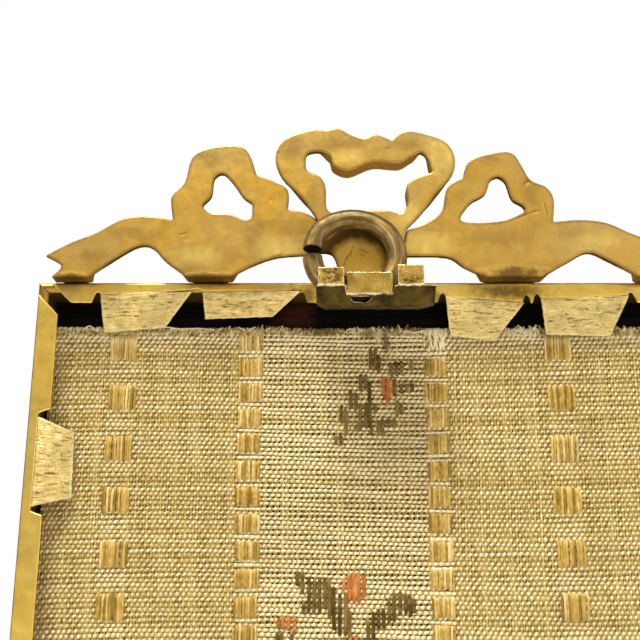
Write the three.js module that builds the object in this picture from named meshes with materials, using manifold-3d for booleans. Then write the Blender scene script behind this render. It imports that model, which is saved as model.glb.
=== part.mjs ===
// Ribbon-bow crested hanging picture frame, gilt brass, as an assembly of its real pieces.
// Millimetres, +Z up. The back, with the bent tabs and the hanging ring, faces -Y; the glass
// faces +Y. The origin is the middle of the underside of the bottom rail.
import * as THREE from 'three';
import { mergeVertices } from 'three/addons/utils/BufferGeometryUtils.js';
import Module from 'manifold-3d';

const wasm = await Module();
wasm.setup();

// ---------------------------------------------------------------- driving dimensions
const FRAME_WIDTH = 85;
const FRAME_HEIGHT = 116;
const HALF_WIDTH = FRAME_WIDTH / 2;
const MID_HEIGHT = FRAME_HEIGHT / 2;
const RAIL_DEPTH = 8;
const RAIL_WALL = 1.2;            // thin outer wall of the rebate
const SIGHT_WIDTH = 8;            // outer edge to sight edge
const REBATE_SHELF = 2.1;         // y of the shelf that the glass rests against
const SIGHT_LIP = 0.7;            // thickness of the rail at its sight edge
const BACK_Y = -RAIL_DEPTH / 2;   // plane of the rails' back edges
const FRONT_Y = RAIL_DEPTH / 2;
const GAP = 0.3;                  // between pieces that are brazed, bent or laid together
const SLIP = 0.05;                // between flat pieces stacked in the rebate
const MITRE_GAP = 0.05;           // each rail stops this far short of the corner's mitre plane

const SHEET = 0.3;                // retaining strips and their tabs
const STRIP_INSET = 0.15;
const STRIP_TOOTH = 2.8;          // how far the strip reaches inward between the tabs
const TAB_LEAN = THREE.MathUtils.degToRad(23);
const NOTCH = 0.55;               // half width of the arched notch at each end of a tab
const STRIP_END = 1.6;            // strips stop short of the corners
const STRIP_Y = BACK_Y - SLIP;    // the strip's seat on the back edge of the wall

const GLASS_THICK = 1.2;
const MAT_THICK = 0.5;
const CARD_THICK = 0.3;
const BOARD_THICK = 1.3;
const COVER_THICK = 0.3;
const GLASS_CLEARANCE = 0.4;
const BOARD_SHORT = 5.3;          // the board stops this far below the frame's top edge
const PICTURE_SHORT = 2;          // and the picture card this far below the glass's top
const MAT_BORDER = 13;

const BEAD_RADIUS = 0.6;
const BEAD_INSET = 0.75;          // the bead rod's centre line, outward of the sight edge

const CREST_BACK = 2.3;           // the crest's filed back stands this far behind the rails
const CREST_EDGE = 2.5;
const BOW_PROUD = 0.35;           // the bow stands proud of the ribbons
const FOOT_DEPTH = 5;
const FOOT_HEIGHT = 1;
const FOOT_STEP = 0.4;            // the foot block starts this far in front of the crest's back
const FOOT_LIFT = 0.1;            // solder under the foot
const CREST_STEPS = 4;            // divisions per point on the crest's curved stretches

const WIRE = 1.26;                // ring wire radius
const RING_RADIUS = 5.4;
const RING_X = -1.2;
const RING_LEAN = THREE.MathUtils.degToRad(-8.8);
const RING_ENDS = [183.5, 534];   // degrees round the ring, from its lower end to its upper
const RING_SPRING = 1.1;          // the upper end is sprung out this far behind
const PIVOT_BEHIND = 5.76;        // ring pivot, behind the rails' back edges
const PIVOT_BELOW = 3.4;          // and below the frame's top edge
const BRACKET_SHEET = 0.35;
const BRACKET_LEFT = -6.1;
const BRACKET_RIGHT = 8.6;

// ---------------------------------------------------------------- materials
function metal(colour, roughness) {
  return new THREE.MeshStandardMaterial({ color: colour, roughness, metalness: 1 });
}
function plain(colour, roughness) {
  return new THREE.MeshStandardMaterial({ color: colour, roughness, metalness: 0 });
}
const brass = metal(0xc9a13c, 0.3);
const sheetBrass = metal(0xc2a656, 0.45);
const oliveBrass = metal(0x6f5f26, 0.4);
const bronze = metal(0x6e604a, 0.4);
const silk = plain(0xcdb37c, 0.8);
const greyboard = plain(0x8d8271, 0.9);
const cream = plain(0xe9e0cb, 0.9);
const print = plain(0xc9bfa8, 0.8);
const glass = new THREE.MeshStandardMaterial({
  color: 0xe8f0ee, roughness: 0.05, metalness: 0, transparent: true, opacity: 0.25,
});

// ---------------------------------------------------------------- solids
const frame = new THREE.Group();

function addPiece(name, geometry, material, parent = frame) {
  const mesh = new THREE.Mesh(geometry, material);
  mesh.name = name;
  parent.add(mesh);
  return mesh;
}

function toSolid(geometry) {
  const bare = geometry.clone();
  bare.deleteAttribute('normal');
  bare.deleteAttribute('uv');
  const merged = mergeVertices(bare, 1e-4);
  return new wasm.Manifold(new wasm.Mesh({
    numProp: 3,
    vertProperties: new Float32Array(merged.attributes.position.array),
    triVerts: new Uint32Array(merged.index.array),
  }));
}

function toGeometry(solid) {
  const mesh = solid.getMesh();
  const geometry = new THREE.BufferGeometry();
  geometry.setAttribute('position', new THREE.BufferAttribute(mesh.vertProperties, 3));
  geometry.setIndex(new THREE.BufferAttribute(mesh.triVerts, 1));
  return geometry;
}

// A box given by its lowest and highest corners.
function boxBetween(low, high) {
  const size = high.map((value, axis) => value - low[axis]);
  const box = new THREE.BoxGeometry(...size);
  return box.translate(...low.map((value, axis) => value + size[axis] / 2));
}

function extrude(shape, depth, curveSegments = 1) {
  return new THREE.ExtrudeGeometry(shape, { depth, bevelEnabled: false, curveSegments });
}

// An outline in the back view (x right, v up from the frame's top edge) becomes a plate.
// Its back plane is `behind` millimetres behind the rails, and it is `thick` deep.
function plateFromBack(shape, behind, thick) {
  const plate = extrude(shape, thick);
  plate.rotateX(Math.PI / 2);
  return plate.translate(0, BACK_Y - behind + thick, FRAME_HEIGHT);
}

// A closed outline from stretches: each is one smooth curve, and they meet at corners.
function outline(stretches) {
  const points = [];
  for (const stretch of stretches) {
    const knots = stretch.map(([x, v]) => new THREE.Vector2(x, v));
    const count = stretch.length === 2 ? 1 : (stretch.length - 1) * CREST_STEPS;
    const drawn = new THREE.SplineCurve(knots).getPoints(count);
    points.push(...drawn.slice(0, -1));
  }
  return new THREE.Shape(points);
}

// ---------------------------------------------------------------- rails
// Section of a rail: x runs inward from the outer edge, y from back to front. An L with a
// rebate behind, and in front a rounded edge, a shallow hollow and a step down to the beads.
function railSection() {
  const lip = REBATE_SHELF + SIGHT_LIP;
  const section = new THREE.Shape();
  section.moveTo(0, BACK_Y);
  section.lineTo(RAIL_WALL, BACK_Y);
  section.lineTo(RAIL_WALL, REBATE_SHELF);
  section.lineTo(SIGHT_WIDTH, REBATE_SHELF);
  section.lineTo(SIGHT_WIDTH, lip);
  section.lineTo(SIGHT_WIDTH - 1.6, lip);
  section.lineTo(SIGHT_WIDTH - 1.8, FRONT_Y - 0.6);
  section.quadraticCurveTo(4.4, lip - 0.2, 3, FRONT_Y - 0.4);
  section.quadraticCurveTo(2.2, FRONT_Y, 1.5, FRONT_Y);
  section.quadraticCurveTo(0.2, FRONT_Y, 0, FRONT_Y - 2);
  section.closePath();
  return section;
}

// A straight bar of the given section along X, mitred at both ends. The section's x is the
// distance inward from the frame's outer edge, and becomes Z.
function mitredBar(section, length, curveSegments) {
  const bar = extrude(section, length, curveSegments);
  const place = bar.attributes.position;
  for (let i = 0; i < place.count; i += 1) {
    const inward = place.getX(i);
    const farEnd = place.getZ(i) > length / 2;
    const along = (farEnd ? -1 : 1) * (length / 2 - inward);
    place.setXYZ(i, along, place.getY(i), inward);
  }
  return bar;
}

// A side's group has +X along the side and +Z inward, so on the top and left sides its +X
// runs against the order in which the tabs are listed (left to right, and bottom to top).
const SIDES = [
  { name: 'bottom', length: FRAME_WIDTH, turn: 0, at: [0, 0], listed: 1 },
  { name: 'right', length: FRAME_HEIGHT, turn: -Math.PI / 2, at: [HALF_WIDTH, MID_HEIGHT], listed: 1 },
  { name: 'top', length: FRAME_WIDTH, turn: Math.PI, at: [0, FRAME_HEIGHT], listed: -1 },
  { name: 'left', length: FRAME_HEIGHT, turn: Math.PI / 2, at: [-HALF_WIDTH, MID_HEIGHT], listed: -1 },
];

// A group whose +X runs along a side and whose +Z runs inward from the frame's outer edge.
function sideGroup(side) {
  const group = new THREE.Group();
  group.position.set(side.at[0], 0, side.at[1]);
  group.rotation.y = side.turn;
  frame.add(group);
  return group;
}

function addRails() {
  for (const side of SIDES) {
    const bar = mitredBar(railSection(), side.length - 2 * MITRE_GAP, 4);
    addPiece(`${side.name}_rail`, bar, brass, sideGroup(side));
  }
}

// Beading in the sight edge, drawn as the plain rod that the beads are turned on.
function addBeading() {
  const seat = REBATE_SHELF + SIGHT_LIP + SLIP;
  const section = new THREE.Shape();
  section.absarc(SIGHT_WIDTH - BEAD_INSET, seat + BEAD_RADIUS, BEAD_RADIUS, 0, 2 * Math.PI);
  for (const side of SIDES) {
    const bar = mitredBar(section, side.length - 2 * MITRE_GAP, 3);
    addPiece(`${side.name}_beading`, bar, brass, sideGroup(side));
  }
}

// ---------------------------------------------------------------- glazing and backing
const STACK_HALF_WIDTH = HALF_WIDTH - RAIL_WALL - GLASS_CLEARANCE;
const STACK_BOTTOM = RAIL_WALL + GLASS_CLEARANCE;
const STACK_TOP = FRAME_HEIGHT - RAIL_WALL - GLASS_CLEARANCE;

function slab(front, thick, top) {
  return boxBetween(
    [-STACK_HALF_WIDTH, front - thick, STACK_BOTTOM],
    [STACK_HALF_WIDTH, front, top],
  );
}

function addGlazing() {
  const glassFront = REBATE_SHELF - SLIP;
  addPiece('glass', slab(glassFront, GLASS_THICK, STACK_TOP), glass);

  const matFront = glassFront - GLASS_THICK - SLIP;
  const window = boxBetween(
    [-HALF_WIDTH + MAT_BORDER, matFront - MAT_THICK - 1, MAT_BORDER],
    [HALF_WIDTH - MAT_BORDER, matFront + 1, FRAME_HEIGHT - MAT_BORDER],
  );
  const mat = toSolid(slab(matFront, MAT_THICK, STACK_TOP)).subtract(toSolid(window));
  addPiece('window_mat', toGeometry(mat), cream);

  const cardFront = matFront - MAT_THICK - SLIP;
  addPiece('picture_card', slab(cardFront, CARD_THICK, STACK_TOP - PICTURE_SHORT), print);
  return cardFront - CARD_THICK - SLIP;
}

// The silk is a tray round the board: one face, four turned-over edges, open at the front.
function addBacking(front) {
  const top = FRAME_HEIGHT - BOARD_SHORT;
  const skin = COVER_THICK + SLIP;
  const board = boxBetween(
    [-STACK_HALF_WIDTH + skin, front - BOARD_THICK, STACK_BOTTOM + skin],
    [STACK_HALF_WIDTH - skin, front, top - skin],
  );
  addPiece('backing_board', board, greyboard);

  const back = front - BOARD_THICK - skin;
  const outer = boxBetween([-STACK_HALF_WIDTH, back, STACK_BOTTOM], [STACK_HALF_WIDTH, front, top]);
  const hollow = boxBetween(
    [-STACK_HALF_WIDTH + COVER_THICK, back + COVER_THICK, STACK_BOTTOM + COVER_THICK],
    [STACK_HALF_WIDTH - COVER_THICK, front + 1, top - COVER_THICK],
  );
  addPiece('silk_cover', toGeometry(toSolid(outer).subtract(toSolid(hollow))), silk);
}

// ---------------------------------------------------------------- retaining strips and tabs
// Each tab: from and to along the strip, the crease's depth at each end, and the free edge's
// two corners as [along, depth], all measured from the outer edge of the frame.
const TOP_TABS = [
  { from: -34.3, to: -22.5, crease: [1.8, 1.25], tip: [[-34, 6.3], [-26, 5.7]] },
  { from: -21, to: -8.4, crease: [1.35, 1.3], tip: [[-20.7, 4.6], [-11.8, 4.3]] },
  { from: 10.8, to: 20.8, crease: [2.1, 2.9], tip: [[11.4, 6.7], [17.2, 7.4]] },
  { from: 23.2, to: 34.6, crease: [2.4, 1.9], tip: [[23.9, 6.6], [32.4, 6.8]] },
];
const BOTTOM_TABS = [
  { from: -33, to: -23, crease: [1.5, 1.5], tip: [[-31.4, 5.6], [-23.8, 5.9]] },
  { from: -17, to: -6, crease: [1.5, 1.5], tip: [[-16.2, 5.8], [-8.2, 5.5]] },
  { from: 6, to: 17, crease: [1.5, 1.5], tip: [[7.4, 5.5], [16.4, 5.8]] },
  { from: 23, to: 33, crease: [1.5, 1.5], tip: [[24.6, 5.9], [32.2, 5.6]] },
];
const SIDE_TABS = [
  { from: -41, to: -30, crease: [1.5, 1.5], tip: [[-39.6, 5.7], [-31.4, 5.6]] },
  { from: -6, to: 5.5, crease: [1.5, 1.5], tip: [[-4.6, 5.6], [4.6, 5.8]] },
  { from: 29, to: 40, crease: [1.5, 1.5], tip: [[30.2, 5.8], [38.4, 5.6]] },
];
const TABS = { top: TOP_TABS, bottom: BOTTOM_TABS, left: SIDE_TABS, right: SIDE_TABS };

// The tabs in the order of the side group's +X.
function alongSide(side) {
  const tabs = TABS[side.name];
  if (side.listed > 0) return tabs;
  return tabs.map((tab) => ({
    from: -tab.to,
    to: -tab.from,
    crease: [...tab.crease].reverse(),
    tip: [...tab.tip].reverse().map(([along, depth]) => [-along, depth]),
  })).reverse();
}

// A flat sheet of brass: the shape's y runs inward, and its back face is at y = -SHEET.
function sheetFrom(shape) {
  return extrude(shape, SHEET, 4).rotateX(Math.PI / 2);
}

// The strip is a band with an arched notch beside each tab and a tooth between notches. Two
// tabs that are close together share one notch.
function stripShape(side) {
  const end = side.length / 2 - STRIP_END;
  const tabs = alongSide(side);
  const shape = new THREE.Shape();
  shape.moveTo(-end, STRIP_INSET);
  shape.lineTo(-end + STRIP_TOOTH, STRIP_TOOTH);
  tabs.forEach((tab, i) => {
    const [near, far] = tab.crease;
    const sharesNotch = i > 0 && tab.from - tabs[i - 1].to < 4 * NOTCH;
    if (sharesNotch) {
      const middle = (tab.from + tabs[i - 1].to) / 2;
      shape.quadraticCurveTo(middle, RAIL_WALL / 2, tab.from, near - GAP / 2);
    } else {
      shape.lineTo(tab.from - 2 * NOTCH, Math.max(STRIP_TOOTH, near));
      shape.quadraticCurveTo(tab.from - NOTCH, RAIL_WALL / 2, tab.from, near - GAP / 2);
    }
    shape.lineTo(tab.to, far - GAP / 2);
    const tooth = i + 1 === tabs.length || tabs[i + 1].from - tab.to >= 4 * NOTCH;
    if (tooth) {
      const out = tab.to + NOTCH;
      shape.quadraticCurveTo(out, RAIL_WALL / 2, out + NOTCH, Math.max(STRIP_TOOTH, far));
    }
  });
  shape.lineTo(end - STRIP_TOOTH, STRIP_TOOTH);
  shape.lineTo(end, STRIP_INSET);
  shape.closePath();
  return shape;
}

// A tab hangs from the middle of its crease, in a group turned to the crease's slope, and
// leans into the rebate. Its outline is drawn flat, so depths are stretched by the lean.
function addTab(name, tab, parent) {
  const [near, far] = tab.crease;
  const middle = new THREE.Vector2((tab.from + tab.to) / 2, (near + far) / 2);
  const slope = Math.atan2(far - near, tab.to - tab.from);
  const half = (tab.to - tab.from) / 2 / Math.cos(slope);
  const corner = ([along, depth]) => {
    const flat = new THREE.Vector2(along, depth).sub(middle);
    flat.rotateAround(new THREE.Vector2(), -slope);
    return new THREE.Vector2(flat.x, flat.y / Math.cos(TAB_LEAN));
  };
  const leaf = new THREE.Shape([
    new THREE.Vector2(-half, GAP / 2),
    corner(tab.tip[0]),
    corner(tab.tip[1]),
    new THREE.Vector2(half, GAP / 2),
  ]);
  const crease = new THREE.Group();
  crease.position.set(middle.x, STRIP_Y - SHEET / 2, middle.y);
  crease.rotation.set(-TAB_LEAN, -slope, 0, 'YXZ');
  parent.add(crease);
  addPiece(name, sheetFrom(leaf).translate(0, SHEET / 2, 0), sheetBrass, crease);
}

function addStripsAndTabs() {
  for (const side of SIDES) {
    const group = sideGroup(side);
    const strip = sheetFrom(stripShape(side)).translate(0, STRIP_Y, 0);
    addPiece(`${side.name}_strip`, strip, sheetBrass, group);
    const tabs = alongSide(side);
    tabs.forEach((tab, index) => {
      const listed = side.listed > 0 ? index + 1 : tabs.length - index;
      addTab(`${side.name}_tab_${listed}`, tab, group);
    });
  }
}

// ---------------------------------------------------------------- crest
// Outlines are in the back view: x to the right, v up from the frame's top edge. Each list
// is one smooth stretch, and stretches meet at corners.
const LEFT_RIBBON = [
  [[-6.95, 3.1], [-11, 2.8], [-14, 1.8], [-17.2, 0.1]],
  [[-17.2, 0.1], [-22.9, 0.1]],
  [[-22.9, 0.1], [-25.7, 2.2], [-27.4, 4], [-29.2, 4.3], [-31.7, 2.9], [-35.6, 0.1]],
  [[-35.6, 0.1], [-40.4, 0.1]],
  [[-40.4, 0.1], [-39.2, 1.6], [-41.4, 3]],
  [[-41.4, 3], [-38, 4.9], [-34.9, 6.2], [-31.9, 8], [-29.4, 8.5], [-26.6, 8.3], [-25, 8]],
  [[-25, 8], [-25.3, 10], [-25.2, 11.5], [-23.6, 13.4], [-22.8, 16.9], [-20.5, 18.4], [-16.7, 18.7],
    [-15.1, 17.4], [-14.1, 14.4]],
  [[-14.1, 14.4], [-11.6, 13.4], [-9.9, 12.2], [-9.9, 9.4]],
  [[-9.9, 9.4], [-7.9, 9.1], [-6.35, 8]],
  [[-6.35, 8], [-6.95, 3.1]],
];
const LEFT_HOLE = [
  [[-14.6, 10.3], [-15.8, 11.2], [-17, 13], [-18.5, 14.6], [-19.7, 13.9], [-20, 11.4], [-21.1, 10],
    [-20, 8.9], [-17.6, 8.8], [-15.6, 8], [-14.6, 8.4]],
  [[-14.6, 8.4], [-14.6, 10.3]],
];
const RIGHT_RIBBON = [
  [[5.3, 2.9], [10.8, 2.8], [13, 1.4], [15.6, 0.1]],
  [[15.6, 0.1], [23.2, 0.1]],
  [[23.2, 0.1], [26.4, 2], [29.2, 3.4], [31.7, 2.4], [35.6, 0.1]],
  [[35.6, 0.1], [40.4, 0.1]],
  [[40.4, 0.1], [39.2, 1.6], [41.4, 3]],
  [[41.4, 3], [38, 4.9], [34.9, 6.2], [31.9, 7.6], [28.4, 8], [25, 7.7]],
  [[25, 7.7], [25.3, 10.9], [24.4, 12.7], [22.4, 13.7], [21.3, 15.8], [20, 17.7], [17.2, 17.5],
    [14.3, 16.4], [13.4, 14]],
  [[13.4, 14], [12, 13.3], [11.1, 12.2], [10.4, 9.2], [8.3, 7.5], [6.05, 6.5]],
  [[6.05, 6.5], [5.3, 2.9]],
];
const RIGHT_HOLE = [
  [[18.1, 14.2], [17, 13.6], [16.2, 11.6], [14.2, 10.3], [12.8, 8.1], [14.4, 7.6], [17.2, 7.7],
    [19.2, 8.1], [21.3, 9.2], [21, 10.1], [19.7, 11], [19, 13.4], [18.1, 14.2]],
];
const BOW = [
  [[-3.2, 0.1], [-3.6, 2.1], [-4.4, 3.2], [-6.6, 3.2]],
  [[-6.6, 3.2], [-6, 7.9]],
  [[-6, 7.9], [-8.2, 11.2], [-10.7, 13.9], [-11.6, 17], [-10.2, 19.6], [-6.8, 20.9], [-4.9, 20.8],
    [-3.2, 21.1], [-1.4, 20.1], [0.2, 19.6], [1.9, 20.2], [4, 19.3]],
  [[4, 19.3], [5.3, 20.5], [7.2, 20.6], [10.9, 19.3], [12.3, 17.2], [12, 14.4], [9.6, 11.5], [7.9, 9],
    [5.7, 6.6]],
  [[5.7, 6.6], [4.95, 2.9]],
  [[4.95, 2.9], [4.2, 2.4], [3.6, 0.1]],
  [[3.6, 0.1], [-3.2, 0.1]],
];
const BOW_HOLE = [
  [[-7.6, 16.2], [-7.3, 17.4], [-5.8, 17.7], [-4.4, 17.2], [-3.9, 15.7], [-1.8, 14.9], [1.4, 16.2],
    [4.8, 16], [6.6, 17], [7.8, 17.6]],
  [[7.8, 17.6], [8.6, 16.9], [9.3, 14.7]],
  [[9.3, 14.7], [6.9, 13.8], [5.8, 12.6], [5.9, 10.2], [5, 8.8], [3.1, 9.2], [-0.8, 9.2], [-3, 8.8],
    [-4.7, 9.4], [-4.9, 12.6], [-5.7, 14.1], [-7.3, 14.9], [-7.6, 16.2]],
];

function castPlate(edge, hole, behind) {
  const plate = toSolid(plateFromBack(outline(edge), behind, CREST_EDGE));
  return plate.subtract(toSolid(plateFromBack(outline(hole), behind + 1, CREST_EDGE + 2)));
}

// A cast foot runs forward over the top of the rail, where it is brazed down.
function footBlock(left, right) {
  const back = BACK_Y - CREST_BACK + FOOT_STEP;
  const low = FRAME_HEIGHT + FOOT_LIFT;
  return toSolid(boxBetween([left, back, low], [right, back + FOOT_DEPTH, low + FOOT_HEIGHT]));
}

function addCrest() {
  const left = castPlate(LEFT_RIBBON, LEFT_HOLE, CREST_BACK)
    .add(footBlock(-22.4, -17.8))
    .add(footBlock(-39.4, -36.4));
  addPiece('crest_ribbon_left', toGeometry(left), brass);
  const right = castPlate(RIGHT_RIBBON, RIGHT_HOLE, CREST_BACK)
    .add(footBlock(16.2, 22.6))
    .add(footBlock(36.4, 39.4));
  addPiece('crest_ribbon_right', toGeometry(right), brass);
  const bow = castPlate(BOW, BOW_HOLE, CREST_BACK + BOW_PROUD).add(footBlock(-2.6, 3));
  addPiece('crest_bow', toGeometry(bow), brass);
}

// ---------------------------------------------------------------- ring bracket
// A bent sheet, drawn in section as a path of its middle: p runs out behind the rails' back
// edges and v up from the frame's top edge. It is extruded from left to right.
function bentSheet(path, left, right) {
  const middle = path.map(([p, v]) => new THREE.Vector2(p, v));
  const face = (side) => middle.map((point, i) => {
    const into = point.clone().sub(middle[Math.max(i - 1, 0)]).normalize();
    const out = middle[Math.min(i + 1, middle.length - 1)].clone().sub(point).normalize();
    const along = into.clone().add(out).normalize();
    const mitre = Math.max(along.dot(into), along.dot(out));
    const normal = new THREE.Vector2(-along.y, along.x);
    return point.clone().addScaledVector(normal, (side * BRACKET_SHEET) / 2 / mitre);
  });
  const section = new THREE.Shape([...face(1), ...face(-1).reverse()]);
  const sheet = extrude(section, right - left);
  const toFrame = new THREE.Matrix4().makeBasis(
    new THREE.Vector3(0, -1, 0), new THREE.Vector3(0, 0, 1), new THREE.Vector3(-1, 0, 0),
  );
  return sheet.applyMatrix4(toFrame).translate(right, BACK_Y, FRAME_HEIGHT);
}

const NEAR_BEND = [8, -3];        // where the plate turns up into the outer ears
const MIDDLE_ROOT = [7.35, -3.93];
const STRAP_V = -1.45;            // the strap that closes the middle ear over the wire
const BRACKET_PLATE = [[0.6, -0.5], [0.6, -2.6], [4.9, -4.95], [6.6, -5], NEAR_BEND];
const SLOT = [-2.45, 3.5];        // cut from left to right for the middle ear
const SLOT_FLOOR = -3.95;

// One sheet is soldered to the top rail, runs out under the ring's wire and up in front of
// it as three ears. The middle one closes over the wire and runs back to the rail.
function addBracket() {
  let bracket = toSolid(bentSheet(BRACKET_PLATE, BRACKET_LEFT, BRACKET_RIGHT));
  const slot = boxBetween(
    [SLOT[0], BACK_Y - 9, FRAME_HEIGHT + SLOT_FLOOR],
    [SLOT[1], BACK_Y - 6, FRAME_HEIGHT],
  );
  bracket = bracket.subtract(toSolid(slot));
  const tear = outline([
    [[SLOT[0], -3.6], [1.4, -3.6]],
    [[1.4, -3.6], [-0.2, -4.85]],
    [[-0.2, -4.85], [-1.2, -4.75]],
    [[-1.2, -4.75], [SLOT[0], -3.6]],
  ]);
  bracket = bracket.subtract(toSolid(plateFromBack(tear, 9, 3)));
  const ears = [
    bentSheet([NEAR_BEND, [7.85, -0.6]], -5.9, -2.65),
    bentSheet([NEAR_BEND, [7.85, -0.25]], 3.95, 7.2),
    bentSheet([[7.2, -4.15], MIDDLE_ROOT, [7.8, -1.2]], -2.3, 3.3),
    bentSheet([[7.7, STRAP_V], [0.6, STRAP_V]], -2.2, -0.1),
  ];
  for (const ear of ears) bracket = bracket.add(toSolid(ear));
  addPiece('ring_bracket', toGeometry(bracket), oliveBrass);
}

// ---------------------------------------------------------------- hanging ring
// The split ring's centre line, from the lower end round the bottom, right and top to the
// upper end, which is sprung out behind. The pivot is the middle of the wire at the bottom.
class SplitRing extends THREE.Curve {
  getPoint(t) {
    const angle = THREE.MathUtils.degToRad(THREE.MathUtils.lerp(...RING_ENDS, t));
    const sprung = RING_SPRING * THREE.MathUtils.smoothstep(t, 0.72, 1);
    return new THREE.Vector3(
      RING_RADIUS * Math.cos(angle), -sprung, RING_RADIUS * (1 + Math.sin(angle)),
    );
  }
}

function addRing() {
  const section = new THREE.Shape();
  section.absarc(0, 0, WIRE, 0, 2 * Math.PI);
  const wire = new THREE.ExtrudeGeometry(section, {
    steps: 48, curveSegments: 6, bevelEnabled: false, extrudePath: new SplitRing(),
  });
  const pivot = new THREE.Group();
  pivot.position.set(RING_X, BACK_Y - PIVOT_BEHIND, FRAME_HEIGHT - PIVOT_BELOW);
  pivot.rotation.x = RING_LEAN;
  frame.add(pivot);
  addPiece('hanging_ring', wire, bronze, pivot);
}

// ---------------------------------------------------------------- assembly
addRails();
addBeading();
addBacking(addGlazing());
addStripsAndTabs();
addCrest();
addBracket();
addRing();

export default frame;
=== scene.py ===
"""Looks for the hanging picture frame: gilt castings, bent sheet tabs, split ring and woven silk."""

import math

import bpy
import numpy as np
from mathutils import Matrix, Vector
from mathutils.kdtree import KDTree


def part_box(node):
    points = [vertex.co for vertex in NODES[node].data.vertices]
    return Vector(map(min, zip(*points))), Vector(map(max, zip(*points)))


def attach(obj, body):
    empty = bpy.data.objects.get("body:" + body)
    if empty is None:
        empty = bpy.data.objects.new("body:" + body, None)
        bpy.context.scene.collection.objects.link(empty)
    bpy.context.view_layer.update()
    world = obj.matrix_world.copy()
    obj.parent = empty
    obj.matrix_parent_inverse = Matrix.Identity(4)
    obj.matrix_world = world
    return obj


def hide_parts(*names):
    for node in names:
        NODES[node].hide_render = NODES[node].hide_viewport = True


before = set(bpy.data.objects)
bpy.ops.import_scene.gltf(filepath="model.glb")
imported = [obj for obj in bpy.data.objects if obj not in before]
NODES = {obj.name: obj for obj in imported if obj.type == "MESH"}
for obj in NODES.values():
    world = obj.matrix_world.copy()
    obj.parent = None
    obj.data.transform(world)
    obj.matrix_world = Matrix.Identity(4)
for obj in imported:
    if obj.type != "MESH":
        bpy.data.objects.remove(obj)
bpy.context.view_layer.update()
ROOT = "frame_body"
MM = 0.001
SIDES = ("bottom", "right", "top", "left")

# ---------------------------------------------------------------- sizes taken from the frame (mm)


def box_mm(node):
    """A CAD node's lowest and highest corners, in millimetres."""
    low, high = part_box(node)
    return np.array(low) / MM, np.array(high) / MM


RAIL_LOW, RAIL_HIGH = box_mm("top_rail")
FRAME_TOP = RAIL_HIGH[2]
BACK_Y = RAIL_LOW[1]
HALF_WIDTH = round(RAIL_HIGH[0] * 2) / 2
SHEET = 0.3         # thickness of the tabs
CREST_THICK = 2.5


# ---------------------------------------------------------------- arrays of points


def xyz(x, y, z):
    """Points from three coordinates that broadcast together."""
    return np.stack(np.broadcast_arrays(x, y, z), axis=-1)


def unit(vectors):
    return vectors / np.linalg.norm(vectors, axis=-1, keepdims=True)


def ramp01(value, low, high):
    """0 up to low, 1 from high on, and a smooth rise between."""
    t = np.clip((value - low) / (high - low), 0, 1)
    return t * t * (3 - 2 * t)


def waves(points, scale, seed, octaves=3):
    """Smooth repeatable noise from -1 to 1 at points in millimetres, made of turned sine waves."""
    random = np.random.default_rng(seed)
    total = np.zeros(len(points))
    for octave in range(octaves):
        for _ in range(4):
            direction = unit(random.normal(size=3))
            frequency = 2 ** octave * random.uniform(0.7, 1.3) / scale
            phase = random.uniform(0, 2 * math.pi)
            total += np.sin(points @ direction * frequency * 2 * math.pi + phase) / 2 ** octave
    return total / (4 * (2 - 0.5 ** (octaves - 1)))


def grid_quads(rows, columns, closed=False):
    """Quads of a grid of points stored row by row, whose rows may each close on themselves."""
    r, c = np.meshgrid(np.arange(rows - 1), np.arange(columns if closed else columns - 1), indexing="ij")
    across = (c + 1) % columns
    quads = [r * columns + c, r * columns + across, (r + 1) * columns + across, (r + 1) * columns + c]
    return np.stack([q.ravel() for q in quads], axis=1)


def repeated(quads, copies, points_each):
    """The same quads for each of several copies of their points."""
    return (quads[None] + (np.arange(copies) * points_each)[:, None, None]).reshape(-1, 4)


# ---------------------------------------------------------------- mesh helpers


def placed(name, data):
    """A new object in the scene."""
    item = bpy.data.objects.new(name, data)
    bpy.context.scene.collection.objects.link(item)
    return item


def quad_object(name, points_mm, quads):
    """A smooth mesh object from points in millimetres and quads, four indices a row."""
    mesh = bpy.data.meshes.new(name)
    points = np.ascontiguousarray(np.asarray(points_mm, np.float32) * MM)
    quads = np.ascontiguousarray(quads, np.int32)
    mesh.vertices.add(len(points))
    mesh.vertices.foreach_set("co", points.ravel())
    mesh.loops.add(quads.size)
    mesh.loops.foreach_set("vertex_index", quads.ravel())
    mesh.polygons.add(len(quads))
    mesh.polygons.foreach_set("loop_start", np.arange(0, quads.size, 4, dtype=np.int32))
    mesh.update(calc_edges=True)
    mesh.shade_smooth()
    return placed(name, mesh)


def point_values(piece, name, values):
    """Stores one number for each point, which a material reads by name."""
    attribute = piece.data.attributes.new(name, "FLOAT", "POINT")
    attribute.data.foreach_set("value", np.asarray(values, np.float32))


def points_of(piece):
    """A piece's points in millimetres."""
    points = np.zeros(len(piece.data.vertices) * 3, np.float32)
    piece.data.vertices.foreach_get("co", points)
    return points.reshape(-1, 3).astype(float) / MM


def normals_of(piece):
    normals = np.zeros(len(piece.data.vertices) * 3, np.float32)
    piece.data.vertex_normals.foreach_get("vector", normals)
    return normals.reshape(-1, 3).astype(float)


def set_points(piece, points_mm):
    piece.data.vertices.foreach_set("co", (np.asarray(points_mm) * MM).astype(np.float32).ravel())
    piece.data.update()


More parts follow.
